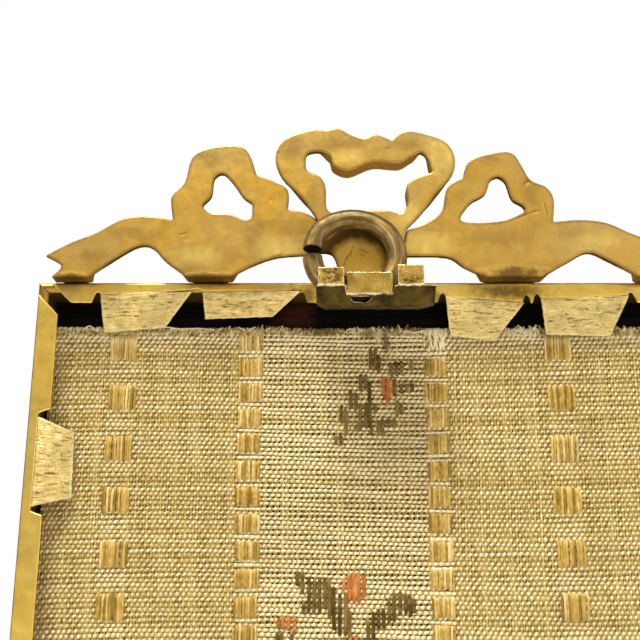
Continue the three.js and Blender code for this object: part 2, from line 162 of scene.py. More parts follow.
def remeshed(name, node, voxel_mm, smoothing):
    """A fine, even, closed copy of a CAD node's mesh, with its sharp edges just softened."""
    mesh = NODES[node].data.copy()
    mesh.materials.clear()
    piece = placed(name, mesh)
    piece.modifiers.new("weld", "WELD").merge_threshold = 1e-6
    remesh = piece.modifiers.new("remesh", "REMESH")
    remesh.mode = "VOXEL"
    remesh.voxel_size = voxel_mm * MM
    soften = piece.modifiers.new("soften", "SMOOTH")
    soften.factor = 0.5
    soften.iterations = smoothing
    graph = bpy.context.evaluated_depsgraph_get()
    baked = bpy.data.meshes.new_from_object(piece.evaluated_get(graph))
    piece.modifiers.clear()
    piece.data = baked
    baked.shade_smooth()
    return piece


def dress(piece, material, body=ROOT, replaces=()):
    """Gives a piece its material and slot, and makes it ride on its body."""
    piece.data.materials.clear()
    piece.data.materials.append(material)
    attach(piece, body)
    if replaces:
        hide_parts(*replaces)
    return piece


# ---------------------------------------------------------------- node helpers


class Nodes:
    """A short way to write a node tree."""

    def __init__(self, tree):
        self.tree = tree

    def put(self, kind, inputs=None, output=0, **settings):
        """Adds a node, feeds its inputs, and gives back one of its outputs."""
        node = self.tree.nodes.new(kind)
        for key, value in settings.items():
            setattr(node, key, value)
        for key, value in (inputs or {}).items():
            self.feed(node.inputs[key], value)
        return node.outputs[output]

    def feed(self, socket, value):
        if isinstance(value, bpy.types.NodeSocket):
            self.tree.links.new(value, socket)
        elif isinstance(value, tuple) and len(value) == 3 and socket.type == "RGBA":
            socket.default_value = (*value, 1)
        else:
            socket.default_value = value

    def times(self, a, b):
        return self.put("ShaderNodeMath", {0: a, 1: b}, operation="MULTIPLY")

    def plus(self, a, b):
        return self.put("ShaderNodeMath", {0: a, 1: b}, operation="ADD")

    def most(self, a, b):
        return self.put("ShaderNodeMath", {0: a, 1: b}, operation="MAXIMUM")

    def ramp(self, value, low, high, to_low=0.0, to_high=1.0):
        """Runs from to_low, where the value is at low, to to_high at high, and no further."""
        return self.put("ShaderNodeMapRange", {
            "Value": value, "From Min": low, "From Max": high, "To Min": to_low, "To Max": to_high})

    def mix(self, share, a, b):
        """Colour a where the share is 0, and b where it is 1."""
        node = self.tree.nodes.new("ShaderNodeMix")
        node.data_type = "RGBA"
        for socket, value in ((0, share), (6, a), (7, b)):
            self.feed(node.inputs[socket], value)
        return node.outputs[2]

    def over(self, colour, tint, share, strength):
        """A colour with a tint laid over a share of it."""
        return self.mix(self.times(share, strength), colour, tint)

    def three_tones(self, value, stops, tones):
        """A colour that passes through three tones as the value passes three stops."""
        lower = self.mix(self.ramp(value, stops[0], stops[1]), tones[0], tones[1])
        return self.mix(self.ramp(value, stops[1], stops[2]), lower, tones[2])


class Shader(Nodes):
    """A short way to write a material, with sizes in millimetres."""

    def __init__(self, name):
        self.material = bpy.data.materials.new(name)
        self.material.use_nodes = True
        super().__init__(self.material.node_tree)
        self.principled = self.tree.nodes["Principled BSDF"]
        self.object = self.put("ShaderNodeTexCoord", output="Object")

    def place_mm(self, axis):
        """The place along one axis: 0, 1 or 2."""
        along = self.put("ShaderNodeSeparateXYZ", {"Vector": self.object}, output=axis)
        return self.times(along, 1 / MM)

    def noise(self, scale, detail=4, rough=0.55, source=None, distortion=0.0):
        """Noise with a grain of one size, or of three sizes along X, Y and Z."""
        sizes = scale if isinstance(scale, tuple) else (scale,) * 3
        place = self.put("ShaderNodeMapping", {
            "Vector": source or self.object, "Scale": tuple(1000 / size for size in sizes)})
        return self.put("ShaderNodeTexNoise", {
            "Vector": place, "Scale": 1.0, "Detail": detail, "Roughness": rough,
            "Distortion": distortion})

    def patches(self, low, high, scale, **noise):
        """Noise sharpened into patches: 0 below low and 1 above high."""
        return self.ramp(self.noise(scale, **noise), low, high)

    def wobble(self, scale, reach, detail=4):
        """Noise from -reach to reach."""
        return self.ramp(self.noise(scale, detail=detail), 0.3, 0.7, -reach, reach)

    def reach_from(self, x, z, half_x, half_z):
        """Distance from an ellipse's centre in the back view: 1 on the ellipse."""
        local = self.put("ShaderNodeMapping", {
            "Vector": self.object,
            "Location": (-x / half_x, 0, -z / half_z),
            "Scale": (1000 / half_x, 0, 1000 / half_z)})
        return self.put("ShaderNodeVectorMath", {0: local}, output="Value", operation="LENGTH")

    def near_spots(self, spots, edge=0.35):
        """1 inside any of the soft ellipses (centre x, z and half sizes), with ragged rims."""
        ragged = self.wobble(1.1, edge, detail=5)
        total = 0.0
        for spot in spots:
            total = self.most(total, self.ramp(self.plus(self.reach_from(*spot), ragged), 1.4, 0.4))
        return total

    def attribute(self, name, output="Fac"):
        return self.put("ShaderNodeAttribute", output=output, attribute_name=name)

    def bump(self, height, distance_mm, strength=1.0, normal=None):
        inputs = {"Height": height, "Distance": distance_mm * MM, "Strength": strength}
        if normal is not None:
            inputs["Normal"] = normal
        return self.put("ShaderNodeBump", inputs)

    def finish(self, **inputs):
        """Feeds the surface's inputs, and gives back the material."""
        for key, value in inputs.items():
            self.feed(self.principled.inputs[key.replace("_", " ")], value)
        return self.material


def shaded(colour, *factors):
    """A colour times one factor, or one for each channel, and at most 1."""
    factors = factors if len(factors) == 3 else factors * 3
    return tuple(min(1, c * f) for c, f in zip(colour, factors))


# ---------------------------------------------------------------- camera and light


def make_camera():
    """The view from just below the crest, looking up at the back of the frame."""
    left, behind, below, tilt = 0.00565, 0.12458, 0.0422, 16.6
    camera = bpy.data.cameras.new("camera")
    camera.lens = 56.25
    camera.sensor_width = 36
    camera.clip_start = 0.005
    camera.clip_end = 50
    view = placed("camera", camera)
    view.location = (-left, BACK_Y * MM - behind, FRAME_TOP * MM - below)
    view.rotation_euler = (math.radians(90 + tilt), 0, 0)
    bpy.context.scene.camera = view


def area_light(name, place, aim, size, power):
    light = bpy.data.lights.new(name, "AREA")
    light.shape = "DISK"
    light.size = size
    light.energy = power
    lamp = placed(name, light)
    lamp.location = place
    lamp.rotation_euler = (Vector(aim) - Vector(place)).to_track_quat("-Z", "Y").to_euler()


def make_world():
    """A white studio: bright above, dimmer towards the floor, plain white where it is seen."""
    world = bpy.data.worlds.new("studio")
    world.use_nodes = True
    world.node_tree.nodes.clear()
    n = Nodes(world.node_tree)
    direction = n.put("ShaderNodeTexCoord", output="Generated")
    up = n.put("ShaderNodeSeparateXYZ", {0: direction}, output="Z")
    tones = ((0.03, 0.025, 0.018), (0.46, 0.45, 0.42), (0.82, 0.82, 0.82))
    lit = n.put("ShaderNodeBackground", {"Color": n.three_tones(up, (-0.7, 0.1, 0.9), tones)})
    seen = n.put("ShaderNodeBackground", {"Color": (1, 1, 1)})
    to_camera = n.put("ShaderNodeLightPath", output="Is Camera Ray")
    surface = n.put("ShaderNodeMixShader", {0: to_camera, 1: lit, 2: seen})
    n.feed(n.tree.nodes.new("ShaderNodeOutputWorld").inputs["Surface"], surface)
    bpy.context.scene.world = world


def make_stage():
    """A pale floor, far below and all round, and three soft lamps."""
    make_world()
    middle = (0, 0, 0.07)
    area_light("key", (-0.16, -0.36, 0.95), middle, 0.28, 10.5)
    area_light("fill", (0.75, -0.8, 0.25), middle, 0.9, 1.6)
    area_light("front", (0.5, 0.9, 0.7), middle, 0.7, 3.5)
    bpy.context.scene.view_settings.view_transform = "Standard"
    half, low = 900, -0.2
    corners = [[-half, -half, low], [half, -half, low], [half, half, low], [-half, half, low]]
    floor = quad_object("floor", corners, [[0, 1, 2, 3]])
    pale = (0.72, 0.71, 0.69)
    s = Shader("pale_floor")
    floor.data.materials.append(
        s.finish(Base_Color=s.mix(s.noise(40), shaded(pale, 0.97), pale), Roughness=0.7))


# ---------------------------------------------------------------- metals


def gilt_brass(name, tone=(0.80, 0.49, 0.095), stains=(), rubbed=(), soot_and_shadow=None, filed=0.5):
    """Worn gilt brass: broad tarnish, brown stains, file marks, pits and darker edges, olive painted shade
    on walls in shade, and near-black soot and painted shadow where a mask is passed in.
    """
    s = Shader(name)
    pale, deep = shaded(tone, 1.02, 1.08, 1.6), shaded(tone, 0.86, 0.80, 0.6)
    brown, olive, soot_and_shadow_colour = (0.26, 0.125, 0.022), (0.035, 0.016, 0.002), (0.03, 0.016, 0.003)
    broad = s.patches(0.35, 0.68, 9, detail=3)
    fine = s.patches(0.42, 0.72, 1.5, detail=7, rough=0.7)
    cloud = s.patches(0.5, 0.72, 4.2, detail=6, rough=0.62, distortion=0.4)
    freckle = s.patches(0.65, 0.74, 0.38, detail=3)
    colour = s.over(s.mix(broad, deep, pale), deep, fine, 0.4)
    colour = s.over(colour, (0.42, 0.21, 0.04), cloud, 0.34)
    colour = s.over(colour, brown, freckle, 0.5)
    if stains:
        colour = s.over(colour, (0.42, 0.24, 0.06), s.near_spots(stains), 0.5)
    if rubbed:
        colour = s.over(colour, (1.0, 0.70, 0.17), s.near_spots(rubbed), 0.7)
    colour = s.over(colour, brown, s.ramp(s.attribute("edge"), 0.05, 0.45, 1.0, 0.0), 0.7)
    # The under attribute marks walls in shade: olive painted shade over them, and less metal.
    dull = s.attribute("under")
    colour = s.over(colour, olive, dull, 0.93)
    # The mask passed in darkens to near black: burnt flux at the feet and on the strip, painted shade on
    # the strip beside the bracket, and the ring's painted shadow on the bow.
    if soot_and_shadow:
        shade = soot_and_shadow(s)
        colour = s.over(colour, soot_and_shadow_colour, shade, 0.93)
        dull = s.most(dull, shade)
    turned = s.put("ShaderNodeMapping", {"Vector": s.object, "Rotation": (0, 0.5, 0)})
    file_marks = s.noise((0.12, 3.0, 2.2), detail=2, source=turned)
    height = s.plus(s.times(file_marks, filed), s.times(s.noise(0.18, detail=2), 0.35))
    dents = s.bump(s.noise(3.2, detail=2), 0.03, 0.5, s.bump(height, 0.006, 0.6))
    rough = s.plus(s.ramp(broad, 0, 1, 0.36, 0.27), s.times(fine, 0.12))
    bare = s.ramp(dull, 0, 0.35, 1.0, 0.0)
    return s.finish(
        Base_Color=colour, Metallic=bare, Roughness=s.plus(rough, s.times(dull, 0.25)),
        Normal=dents, Specular_IOR_Level=s.times(bare, 0.5))


def scuffed_sheet(name, tone):
    """Pale, dull sheet brass of the bent tabs: crazed, pitted and rubbed, with painted shade in its
    wrinkles and painted highlights on their ridges and along its edges.
    """
    s = Shader(name)
    specks = s.patches(0.58, 0.75, 0.35, rough=0.7)
    wrinkle = s.noise((1.6, 1.6, 0.3), detail=6, rough=0.7)
    crack = s.patches(0.42, 0.36, (0.8, 0.8, 0.6), detail=6, rough=0.7, distortion=1.2)
    colour = s.mix(s.patches(0.35, 0.7, 2.4, detail=5), shaded(tone, 0.7), tone)
    colour = s.over(colour, (0.2, 0.13, 0.03), specks, 0.7)
    colour = s.over(colour, (0.96, 0.82, 0.46), s.patches(0.62, 0.8, (3.5, 3.5, 0.5)), 0.6)
    # Painted shade in the wrinkles' hollows.
    colour = s.over(colour, (0.13, 0.07, 0.015), s.ramp(wrinkle, 0.46, 0.36), 0.9)
    colour = s.over(colour, (0.17, 0.09, 0.02), crack, 0.75)
    # Painted highlight on the wrinkles' ridges.
    colour = s.over(colour, (1.0, 0.88, 0.55), s.ramp(wrinkle, 0.56, 0.66), 0.7)
    # A painted highlight along the tab's edges.
    rim = s.ramp(s.attribute("edge"), 0.12, 0.35, 1.0, 0.0)
    colour = s.over(colour, (0.95, 0.80, 0.42), rim, 0.5)
    rough = s.ramp(s.noise(0.7, detail=5), 0.3, 0.7, 0.3, 0.52)
    normal = s.bump(s.plus(wrinkle, s.times(specks, -0.4)), 0.16)
    return s.finish(Base_Color=colour, Metallic=0.92, Roughness=rough, Normal=normal)


# The bracket's long bend, and the small tear in its lower edge: x and z.
BEND_Z = FRAME_TOP - 2.95
TEAR_X, TEAR_Z = -0.6, FRAME_TOP - 4.45


def bracket_brass():
    """Solder-stained bracket: gold ears with brown crust, olive painted shade on the plate below the bend,
    and painted highlights along the bends and on rubbed edges.
    """
    s = Shader("bracket_brass")
    x, z = s.place_mm(0), s.place_mm(2)
    plate = s.times(s.ramp(x, -2.6, -2.4), s.ramp(x, 3.6, 3.4))
    above = s.plus(s.plus(z, s.wobble(0.9, 0.1)), s.plus(s.times(plate, 0.95), -BEND_Z))
    # Olive painted shade below the bend, where the plate faces down; gold on the ears above.
    low = s.ramp(above, 0.04, -0.12)
    blotch = s.patches(0.4, 0.62, 2.4, detail=5, rough=0.6)
    gold = s.mix(blotch, (0.42, 0.25, 0.045), (0.72, 0.47, 0.11))
    olive = s.mix(blotch, (0.030, 0.017, 0.002), (0.10, 0.062, 0.007))
    crust = s.patches(0.42, 0.56, 0.5, detail=5, rough=0.7)
    crusted = s.near_spots([(-4.2, FRAME_TOP - 1.8, 2.1, 1.45), (5.7, FRAME_TOP - 2.5, 2.0, 0.8)], 0.25)
    crusted = s.times(crusted, s.plus(s.times(crust, 0.55), 0.42))
    colour = s.mix(crusted, s.mix(low, gold, olive), (0.085, 0.045, 0.009))
    # A painted highlight along the bend, in patches.
    bend_highlight = s.times(s.ramp(above, -0.2, -0.06), s.ramp(above, 0.2, 0.06))
    bend_highlight = s.times(bend_highlight, s.patches(0.36, 0.5, 1.3, detail=3))
    torn = s.near_spots([(TEAR_X, TEAR_Z - 0.05, 1.9, 0.75)], 0.1)
    rubbed = s.most(s.patches(0.38, 0.55, 1.1, detail=3), torn)
    # A painted highlight on the convex edges, in patches and round the tear.
    rim = s.times(s.ramp(s.attribute("edge"), 0.25, 0.8), rubbed)
    rim = s.times(rim, s.most(s.ramp(above, -0.1, 0.1, 0.0, 0.75), torn))
    colour = s.mix(s.most(s.times(bend_highlight, 0.8), rim), colour, (1.0, 0.86, 0.52))
    normal = s.bump(s.plus(s.noise(1.2), s.times(crusted, -0.7)), 0.12, 0.8)
    return s.finish(
        Base_Color=colour, Metallic=s.ramp(low, 0, 1, 0.95, 0.75), Normal=normal,
        Roughness=s.ramp(blotch, 0, 1, 0.45, 0.3), Specular_IOR_Level=0.25)


def ring_bronze():
    """Dark bronze wire with rubbed streaks that run along it, near-black painted shade on its underside and
    inside the bracket, and dark sawn ends.
    """
    s = Shader("ring_bronze")
    wire = s.attribute("wire", output="Vector")
    shifted = s.put("ShaderNodeMapping", {"Vector": wire, "Location": (0.011, 0.004, 0.002)})
    along = s.noise((7.0, 0.5, 0.5), detail=5, source=wire, distortion=0.5)
    patch = s.patches(0.42, 0.6, (2.6, 1.1, 1.1), detail=5, rough=0.6, source=wire)
    rust = s.patches(0.52, 0.64, (3.6, 1.4, 1.4), source=shifted)
    colour = s.mix(s.ramp(along, 0.44, 0.6), (0.19, 0.125, 0.040), (0.50, 0.36, 0.145))
    colour = s.over(colour, (0.12, 0.074, 0.022), patch, 0.7)
    colour = s.over(colour, (0.42, 0.22, 0.045), rust, 0.55)
    # Near-black painted shade on the underside and inside the bracket.
    colour = s.over(colour, (0.02, 0.013, 0.006), s.attribute("under"), 0.9)
    # The sawn ends: dark patina with painted shade.
    colour = s.mix(s.attribute("end"), colour, (0.010, 0.006, 0.004))
    rough = s.ramp(s.noise(0.9), 0.3, 0.7, 0.48, 0.7)
    normal = s.bump(s.plus(along, s.times(s.noise(0.3), 0.4)), 0.05, 0.6)
    return s.finish(
        Base_Color=colour, Metallic=0.7, Roughness=rough, Normal=normal, Specular_IOR_Level=0.1)


# ---------------------------------------------------------------- glass, card, print and silk


def glass_material():
    """Clear picture glass that lets the lamps through to the picture."""
    s = Shader("picture_glass")
    s.finish(Base_Color=(0.97, 0.985, 0.975), Roughness=s.ramp(s.noise(14), 0, 1, 0.0, 0.03), IOR=1.5,
             Transmission_Weight=1.0)
    clear = s.put("ShaderNodeBsdfTransparent", {"Color": (0.97, 0.98, 0.97)})
    shadow = s.put("ShaderNodeLightPath", output="Is Shadow Ray")
    mixed = s.put("ShaderNodeMixShader", {0: shadow, 1: s.principled.outputs[0], 2: clear})
    s.feed(s.tree.nodes["Material Output"].inputs["Surface"], mixed)
    return s.material


def shaded_behind(s, node, colour):
    """The colour on the front of a flat piece, and near-black painted shade behind it, with a patch of
    brown paste.
    """
    face = box_mm(node)[1][1]
    front = s.ramp(s.place_mm(1), face - 0.12, face - 0.04)
    # Near-black painted shade on the back and edges.
    soot_and_shadow = s.mix(s.noise(3), (0.001, 0.0006, 0.0004), (0.003, 0.0015, 0.0008))
    paste = s.near_spots([(-9.0, FRAME_TOP - 3.4, 2.6, 1.9)])
    return s.mix(front, s.mix(paste, soot_and_shadow, (0.05, 0.012, 0.005)), colour)


def card_material(name, tone, speck, shade_behind_node=None):
    """Paper or board: fibres, a little foxing and soft unevenness."""
    s = Shader(name)
    colour = s.mix(s.noise(12), shaded(tone, 0.86), tone)
    colour = s.over(colour, speck, s.patches(0.64, 0.78, 2.0), 0.6)
    # Behind its front, a piece may take near-black painted shade.
    if shade_behind_node:
        colour = shaded_behind(s, shade_behind_node, colour)
    normal = s.bump(s.noise(0.25, detail=5), 0.03, 0.6)
    return s.finish(Base_Color=colour, Roughness=0.9, Specular_IOR_Level=0.15, Normal=normal)


def print_material():
    """A plain sepia print: an oval vignette, paler in the middle."""
    s = Shader("print_card")
    reach = s.plus(s.reach_from(0, FRAME_TOP / 2, 30, 44), s.wobble(9, 0.18, detail=6))
    colour = s.mix(s.ramp(reach, 0.95, 0.45), (0.12, 0.060, 0.024), (0.52, 0.35, 0.18))
    grain = s.patches(0.35, 0.65, 0.35, detail=3)
    colour = s.over(colour, (0.2, 0.14, 0.08), grain, 0.2)
    # Near-black painted shade behind the print's front.
    return s.finish(Base_Color=shaded_behind(s, "picture_card", colour), Roughness=0.7,
                    Specular_IOR_Level=0.15, Normal=s.bump(grain, 0.01, 0.3))


# Damp and dirt near the cloth's cut edge: centre x, z and half sizes.
SILK_STAINS = [(3.0, 108.9, 0.5, 1.9), (-5.8, 110.3, 3.2, 0.8), (0.6, 109.6, 1.0, 0.5),
               (13.5, 110.2, 1.4, 0.5)]


def silk_material(name, dark, pale, twist):
    """Silk yarn coloured by its tone, which carries painted light and shade too, with brown age stains and
    fine twisted fibres.
    """
    s = Shader(name)
    tone = s.attribute("tone")
    middle = shaded([0.45 * d + 0.55 * p for d, p in zip(dark, pale)], 1.06, 0.94, 0.5)
    colour = s.three_tones(tone, (0.0, 0.55, 1.0), (dark, middle, pale))
    age = s.patches(0.5, 0.75, 11, detail=5, rough=0.6)
    colour = s.over(colour, (0.36, 0.23, 0.07), age, 0.35)
    fibre = s.noise(twist, detail=2)
    colour = s.over(colour, (0.3, 0.19, 0.045), s.ramp(fibre, 0.35, 0.65), 0.3)
    stain = s.near_spots(SILK_STAINS)
    colour = s.over(colour, (0.17, 0.085, 0.008), stain, 0.75)
    clean = s.ramp(stain, 0.0, 1.0, 1.0, 0.1)
    sheen = s.times(s.ramp(tone, 0.3, 1.0, 0.0, 0.2), clean)
    gloss = s.times(s.ramp(tone, 0.0, 0.9, 0.06, 0.45), clean)
    return s.finish(
        Base_Color=colour, Roughness=s.ramp(fibre, 0.3, 0.7, 0.42, 0.6), Sheen_Weight=sheen,
        Sheen_Roughness=0.4, Sheen_Tint=(1.0, 0.78, 0.42), Specular_IOR_Level=gloss,
        Normal=s.bump(fibre, 0.03, 0.7))


# ---------------------------------------------------------------- crest

PITS = 60
PRESSED = 0.36      # how far each ribbon runs on to the bow, so that no light shows between
# Scratches, nicks and file strokes in a casting's back: start, end (x, z), width and depth.
LEFT_MARKS = [((-23.9, 121.9), (-23.3, 122.1), 0.12, 0.05), ((-12.0, 118.7), (-10.4, 119.4), 0.1, 0.03)]
RIGHT_MARKS = [
    ((19.4, 124.0), (22.6, 125.2), 0.2, 0.035), ((22.6, 125.2), (23.5, 125.4), 0.16, 0.04),
    ((24.3, 124.8), (24.0, 126.4), 0.13, 0.05), ((21.7, 129.3), (22.0, 129.5), 0.3, 0.12),
] + [((16.6 + 0.75 * i, 121.6), (17.3 + 0.75 * i, 123.4), 0.1, 0.022) for i in range(9)]
BOW_MARKS = [
    ((-1.4, 120.2), (-1.7, 119.3), 0.12, 0.05), ((-1.7, 119.3), (-2.3, 118.5), 0.12, 0.06),
    ((-2.3, 118.5), (-2.6, 117.5), 0.12, 0.05), ((-1.7, 119.3), (-1.5, 118.5), 0.09, 0.03),
    ((-0.5, 119.8), (0.5, 119.3), 0.15, 0.05), ((-0.4, 119.0), (0.0, 118.9), 0.16, 0.05),
    ((-7.2, 132.4), (-7.0, 132.0), 0.14, 0.05), ((3.2, 134.2), (3.5, 134.1), 0.14, 0.05),
]
# Brown stains, and where fingers have rubbed the gilding bright: centre x, z and half sizes.
LEFT_STAINS = [(-20.3, 132.6, 1.8, 1.5), (-30.5, 122.1, 3.5, 0.9), (-14.2, 121.6, 1.2, 2.2),
               (-23.0, 117.0, 2.2, 0.8), (-35.5, 119.0, 1.6, 0.8)]
RIGHT_STAINS = [(16.8, 132.6, 1.6, 0.9), (22.5, 127.6, 1.4, 1.9), (17.6, 121.5, 3.4, 1.2),
                (28.0, 121.8, 2.4, 1.0), (20.5, 117.0, 3.8, 0.9)]
BOW_STAINS = [(-9.2, 134.2, 1.4, 1.8), (-2.6, 135.0, 3.2, 1.0), (6.5, 134.8, 2.4, 0.9),
              (10.8, 130.5, 1.0, 2.0), (0.4, 120.9, 1.6, 2.8), (-6.7, 127.5, 0.9, 1.6)]
LEFT_RUBBED = [(-11.5, 119.6, 2.6, 1.6), (-21.6, 119.0, 2.8, 1.0)]
RIGHT_RUBBED = [(8.6, 120.6, 3.6, 1.6), (30.0, 121.2, 3.0, 1.2)]
BOW_RUBBED = [(10.6, 132.8, 2.6, 3.6), (5.6, 124.6, 1.6, 2.8), (-2.0, 133.0, 2.0, 1.0)]
BRAZED_FEET = [(19.4, FRAME_TOP + 0.5, 4.6, 1.0), (-20.2, FRAME_TOP + 0.1, 3.4, 0.6),
               (38.0, FRAME_TOP + 0.1, 2.4, 0.6), (-38.0, FRAME_TOP + 0.1, 2.4, 0.6)]
RING_SHADE = (-0.8, FRAME_TOP + 1.5, 4.4, 4.4)    # round the ring's resting place on the bow
BOW_HOLE = (0.8, FRAME_TOP + 13.4, 9.6, 5.2)
LEFT_FACET = ((-14.6, 121.6), (0.83, 0.55), 0.05)     # a point (x, z), the way out and the slope


def edge_distance(points, normals, back):
    """Each point's distance, in the back view, to the casting's nearest outer or pierced edge."""
    walls = points[(np.abs(normals[:, 1]) < 0.35) & (points[:, 1] < back + 2.2)]
    tree = KDTree(len(walls))
    for i, (x, _, z) in enumerate(walls):
        tree.insert((x, z, 0), i)
    tree.balance()
    return np.array([tree.find((x, z, 0))[2] for x, _, z in points])


def groove(points, start, end, width, depth):
    """A groove's depth at each point, along a line from start to end in the back view."""
    a, b = np.array(start, float), np.array(end, float)
    flat = points[:, [0, 2]]
    share = np.clip(((flat - a) @ (b - a)) / ((b - a) @ (b - a)), 0, 1)
    away = np.linalg.norm(flat - a - share[:, None] * (b - a), axis=1)
    return depth * np.exp(-(away / width) ** 2)


def pits(points, seed, count):
    """Casting pits: small dimples scattered over the back, most of them faint."""
    random = np.random.default_rng(seed)
    low, high = points.min(axis=0)[[0, 2]], points.max(axis=0)[[0, 2]]
    depth = np.zeros(len(points))
    for _ in range(count):
        x, z = random.uniform(low, high)
        size = random.uniform(0.07, 0.2)
        near = (points[:, 0] - x) ** 2 + (points[:, 2] - z) ** 2
        depth += random.uniform(0.005, 0.035) * np.exp(-near / size ** 2)
    return depth


def back_dents(points, away, facet):
    """How the filed back departs from flat: long dents, a soft rim and, on one piece, a facet."""
    dents = 0.05 * waves(points, 9, 3) + 0.006 * waves(points, 2.2, 4) + 0.03 * np.exp(-away / 0.15)
    if facet:
        (x, z), (out_x, out_z), slope = facet
        beyond = (points[:, 0] - x) * out_x + (points[:, 2] - z) * out_z
        dents += slope * np.clip(beyond, 0, 4) * np.clip((FRAME_TOP + 8 - points[:, 2]) / 2, 0, 1)
    return dents


def cast_relief(away):
    """The front of a cast ribbon: a rounded rim, a groove inside it and a domed middle."""
    rim = 0.45 * (1 - np.exp(-away / 0.35))
    line = 0.28 * np.exp(-((away - 1.0) / 0.22) ** 2)
    dome = 0.55 * (1 - np.exp(-(np.maximum(away - 1.0, 0) / 1.3) ** 2))
    return rim - line + dome


def deep_walls(points, hole):
    """1 round a hole (centre x, z and half sizes) whose walls keep their full depth."""
    if hole is None:
        return np.zeros(len(points))
    x, z, half_x, half_z = hole
    return 1 - ramp01(np.hypot((points[:, 0] - x) / half_x, (points[:, 2] - z) / half_z), 0.95, 1.1)


def add_casting(node, material, marks, facet=None, full_hole=None, brazed=0):
    """One of the crest's castings: filed flat behind, modelled in front and thin at its edges.

    A ribbon is brazed to the bow on its right (1) or on its left (-1).
    """
    piece = remeshed(f"{node}_casting", node, 0.15, smoothing=2)
    points, normals = points_of(piece), normals_of(piece)
    back = points[:, 1].min()
    away = edge_distance(points, normals, back)
    in_front = np.clip((points[:, 1] - back) / CREST_THICK, 0, 1)
    cuts = pits(points, len(node), PITS)
    for start, end, width, depth in marks:
        cuts += groove(points, start, end, width, depth)
    dents = back_dents(points, away, facet) + cuts
    rise = points[:, 2] - FRAME_TOP
    standing = np.clip((rise - 1.2) / 0.8, 0, 1)
    deep = deep_walls(points, full_hole)
    thinned = 1.9 * np.exp(-away / 0.9) * np.clip((rise - 0.2) / 0.4, 0, 1) * (1 - deep)
    points[:, 1] += (1 - in_front) * dents * standing
    points[:, 1] += in_front * (cast_relief(away) * standing - thinned)
    points += 0.004 * waves(points, 0.8, 5)[:, None] * normals
    beside_bow = (1 - ramp01(np.abs(points[:, 0]), 6.4, 8.5)) * ramp01(points[:, 2] - FRAME_TOP, 2, 3)
    points[:, 0] += PRESSED * brazed * beside_bow
    set_points(piece, points)
    # Painted shade on the walls, kept in the under attribute: strongest where the casting stands free,
    # weaker at its feet and round the bow's hole.
    wall = 1 - ramp01(np.abs(normals[:, 1]), 0.35, 0.75)
    shade = wall * (0.45 + 0.5 * standing * (1 - deep) - 0.1 * deep)
    point_values(piece, "edge", np.where(normals[:, 1] < -0.5, np.minimum(away, 0.6) - 12 * cuts, 0.0))
    point_values(piece, "under", shade * (points[:, 1] < back + 2.3))
    dress(piece, material, replaces=[node])


def foot_grime(s):
    """Burnt flux where the ribbons' feet are brazed to the top rail."""
    return s.times(s.near_spots(BRAZED_FEET), 0.82)


def ring_shade(s):
    """The ring's painted shadow on the bow, round the inside of its resting place, with some grime where no
    cloth has ever reached.
    """
    away = s.plus(s.reach_from(*RING_SHADE), s.wobble(1.3, 0.06))
    return s.times(s.ramp(away, 0.66, 0.93), s.ramp(away, 1.45, 1.2))


def add_crest():
    left = gilt_brass("left_gilt", stains=LEFT_STAINS, rubbed=LEFT_RUBBED, soot_and_shadow=foot_grime)
    right = gilt_brass("right_gilt", stains=RIGHT_STAINS, rubbed=RIGHT_RUBBED, soot_and_shadow=foot_grime)
    bow = gilt_brass("bow_gilt", stains=BOW_STAINS, rubbed=BOW_RUBBED, soot_and_shadow=ring_shade)
    add_casting("crest_ribbon_left", left, LEFT_MARKS, facet=LEFT_FACET, brazed=1)
    add_casting("crest_ribbon_right", right, RIGHT_MARKS, brazed=-1)
    add_casting("crest_bow", bow, BOW_MARKS, full_hole=BOW_HOLE)


# ---------------------------------------------------------------- rails and beads

TORUS_N, TORUS_Y, TORUS_RADIUS = 1.8, 2.3, 1.66     # inward from the outer edge, and forward
BEAD_INSET, BEAD_Y, BEAD_RADIUS, BEAD_PITCH = 7.25, 3.3, 0.66, 1.5


def side_length(side):
    return 2 * HALF_WIDTH if side in ("bottom", "top") else FRAME_TOP


def on_side(side, along, inward, y):
    """Frame coordinates of points given along a side and inward from its outer edge."""
    middle = FRAME_TOP / 2
    x, z = {
        "bottom": (along, inward),
        "right": (HALF_WIDTH - inward, middle + along),
        "top": (-along, FRAME_TOP - inward),
        "left": (inward - HALF_WIDTH, middle - along),
    }[side]
    return xyz(x, y, z).reshape(-1, 3)


def arc(centre, radius, start, end, count):
    turn = np.radians(np.linspace(start, end, count))
    return [(centre[0] + radius * math.cos(a), centre[1] + radius * math.sin(a)) for a in turn]


def rail_profile():
    """The rail's section, with the moulding on its front: torus, fillet, cove and sight edge."""
    profile = [(0.0, BACK_Y), (0.5, BACK_Y), (1.2, BACK_Y)]
    profile += [(1.2, y) for y in np.linspace(BACK_Y + 0.6, 2.1, 8)]
    profile += [(n, 2.1) for n in np.linspace(2.2, 8.0, 6)]
    profile += [(8.0, 2.8), (7.9, 2.85), (6.55, 2.85), (6.45, 2.9), (6.4, 3.3), (6.3, 3.35), (5.95, 3.35)]
    profile += arc((5.0, 3.7), 1.0, -20, -140, 12)
    profile += [(3.9, 3.2), (3.5, 3.2), (3.45, 3.05)]
    profile += arc((TORUS_N, TORUS_Y), TORUS_RADIUS, 25, 175, 22)
    profile += [(0.0, y) for y in np.linspace(1.9, BACK_Y + 0.4, 8)]
    return np.array(profile)


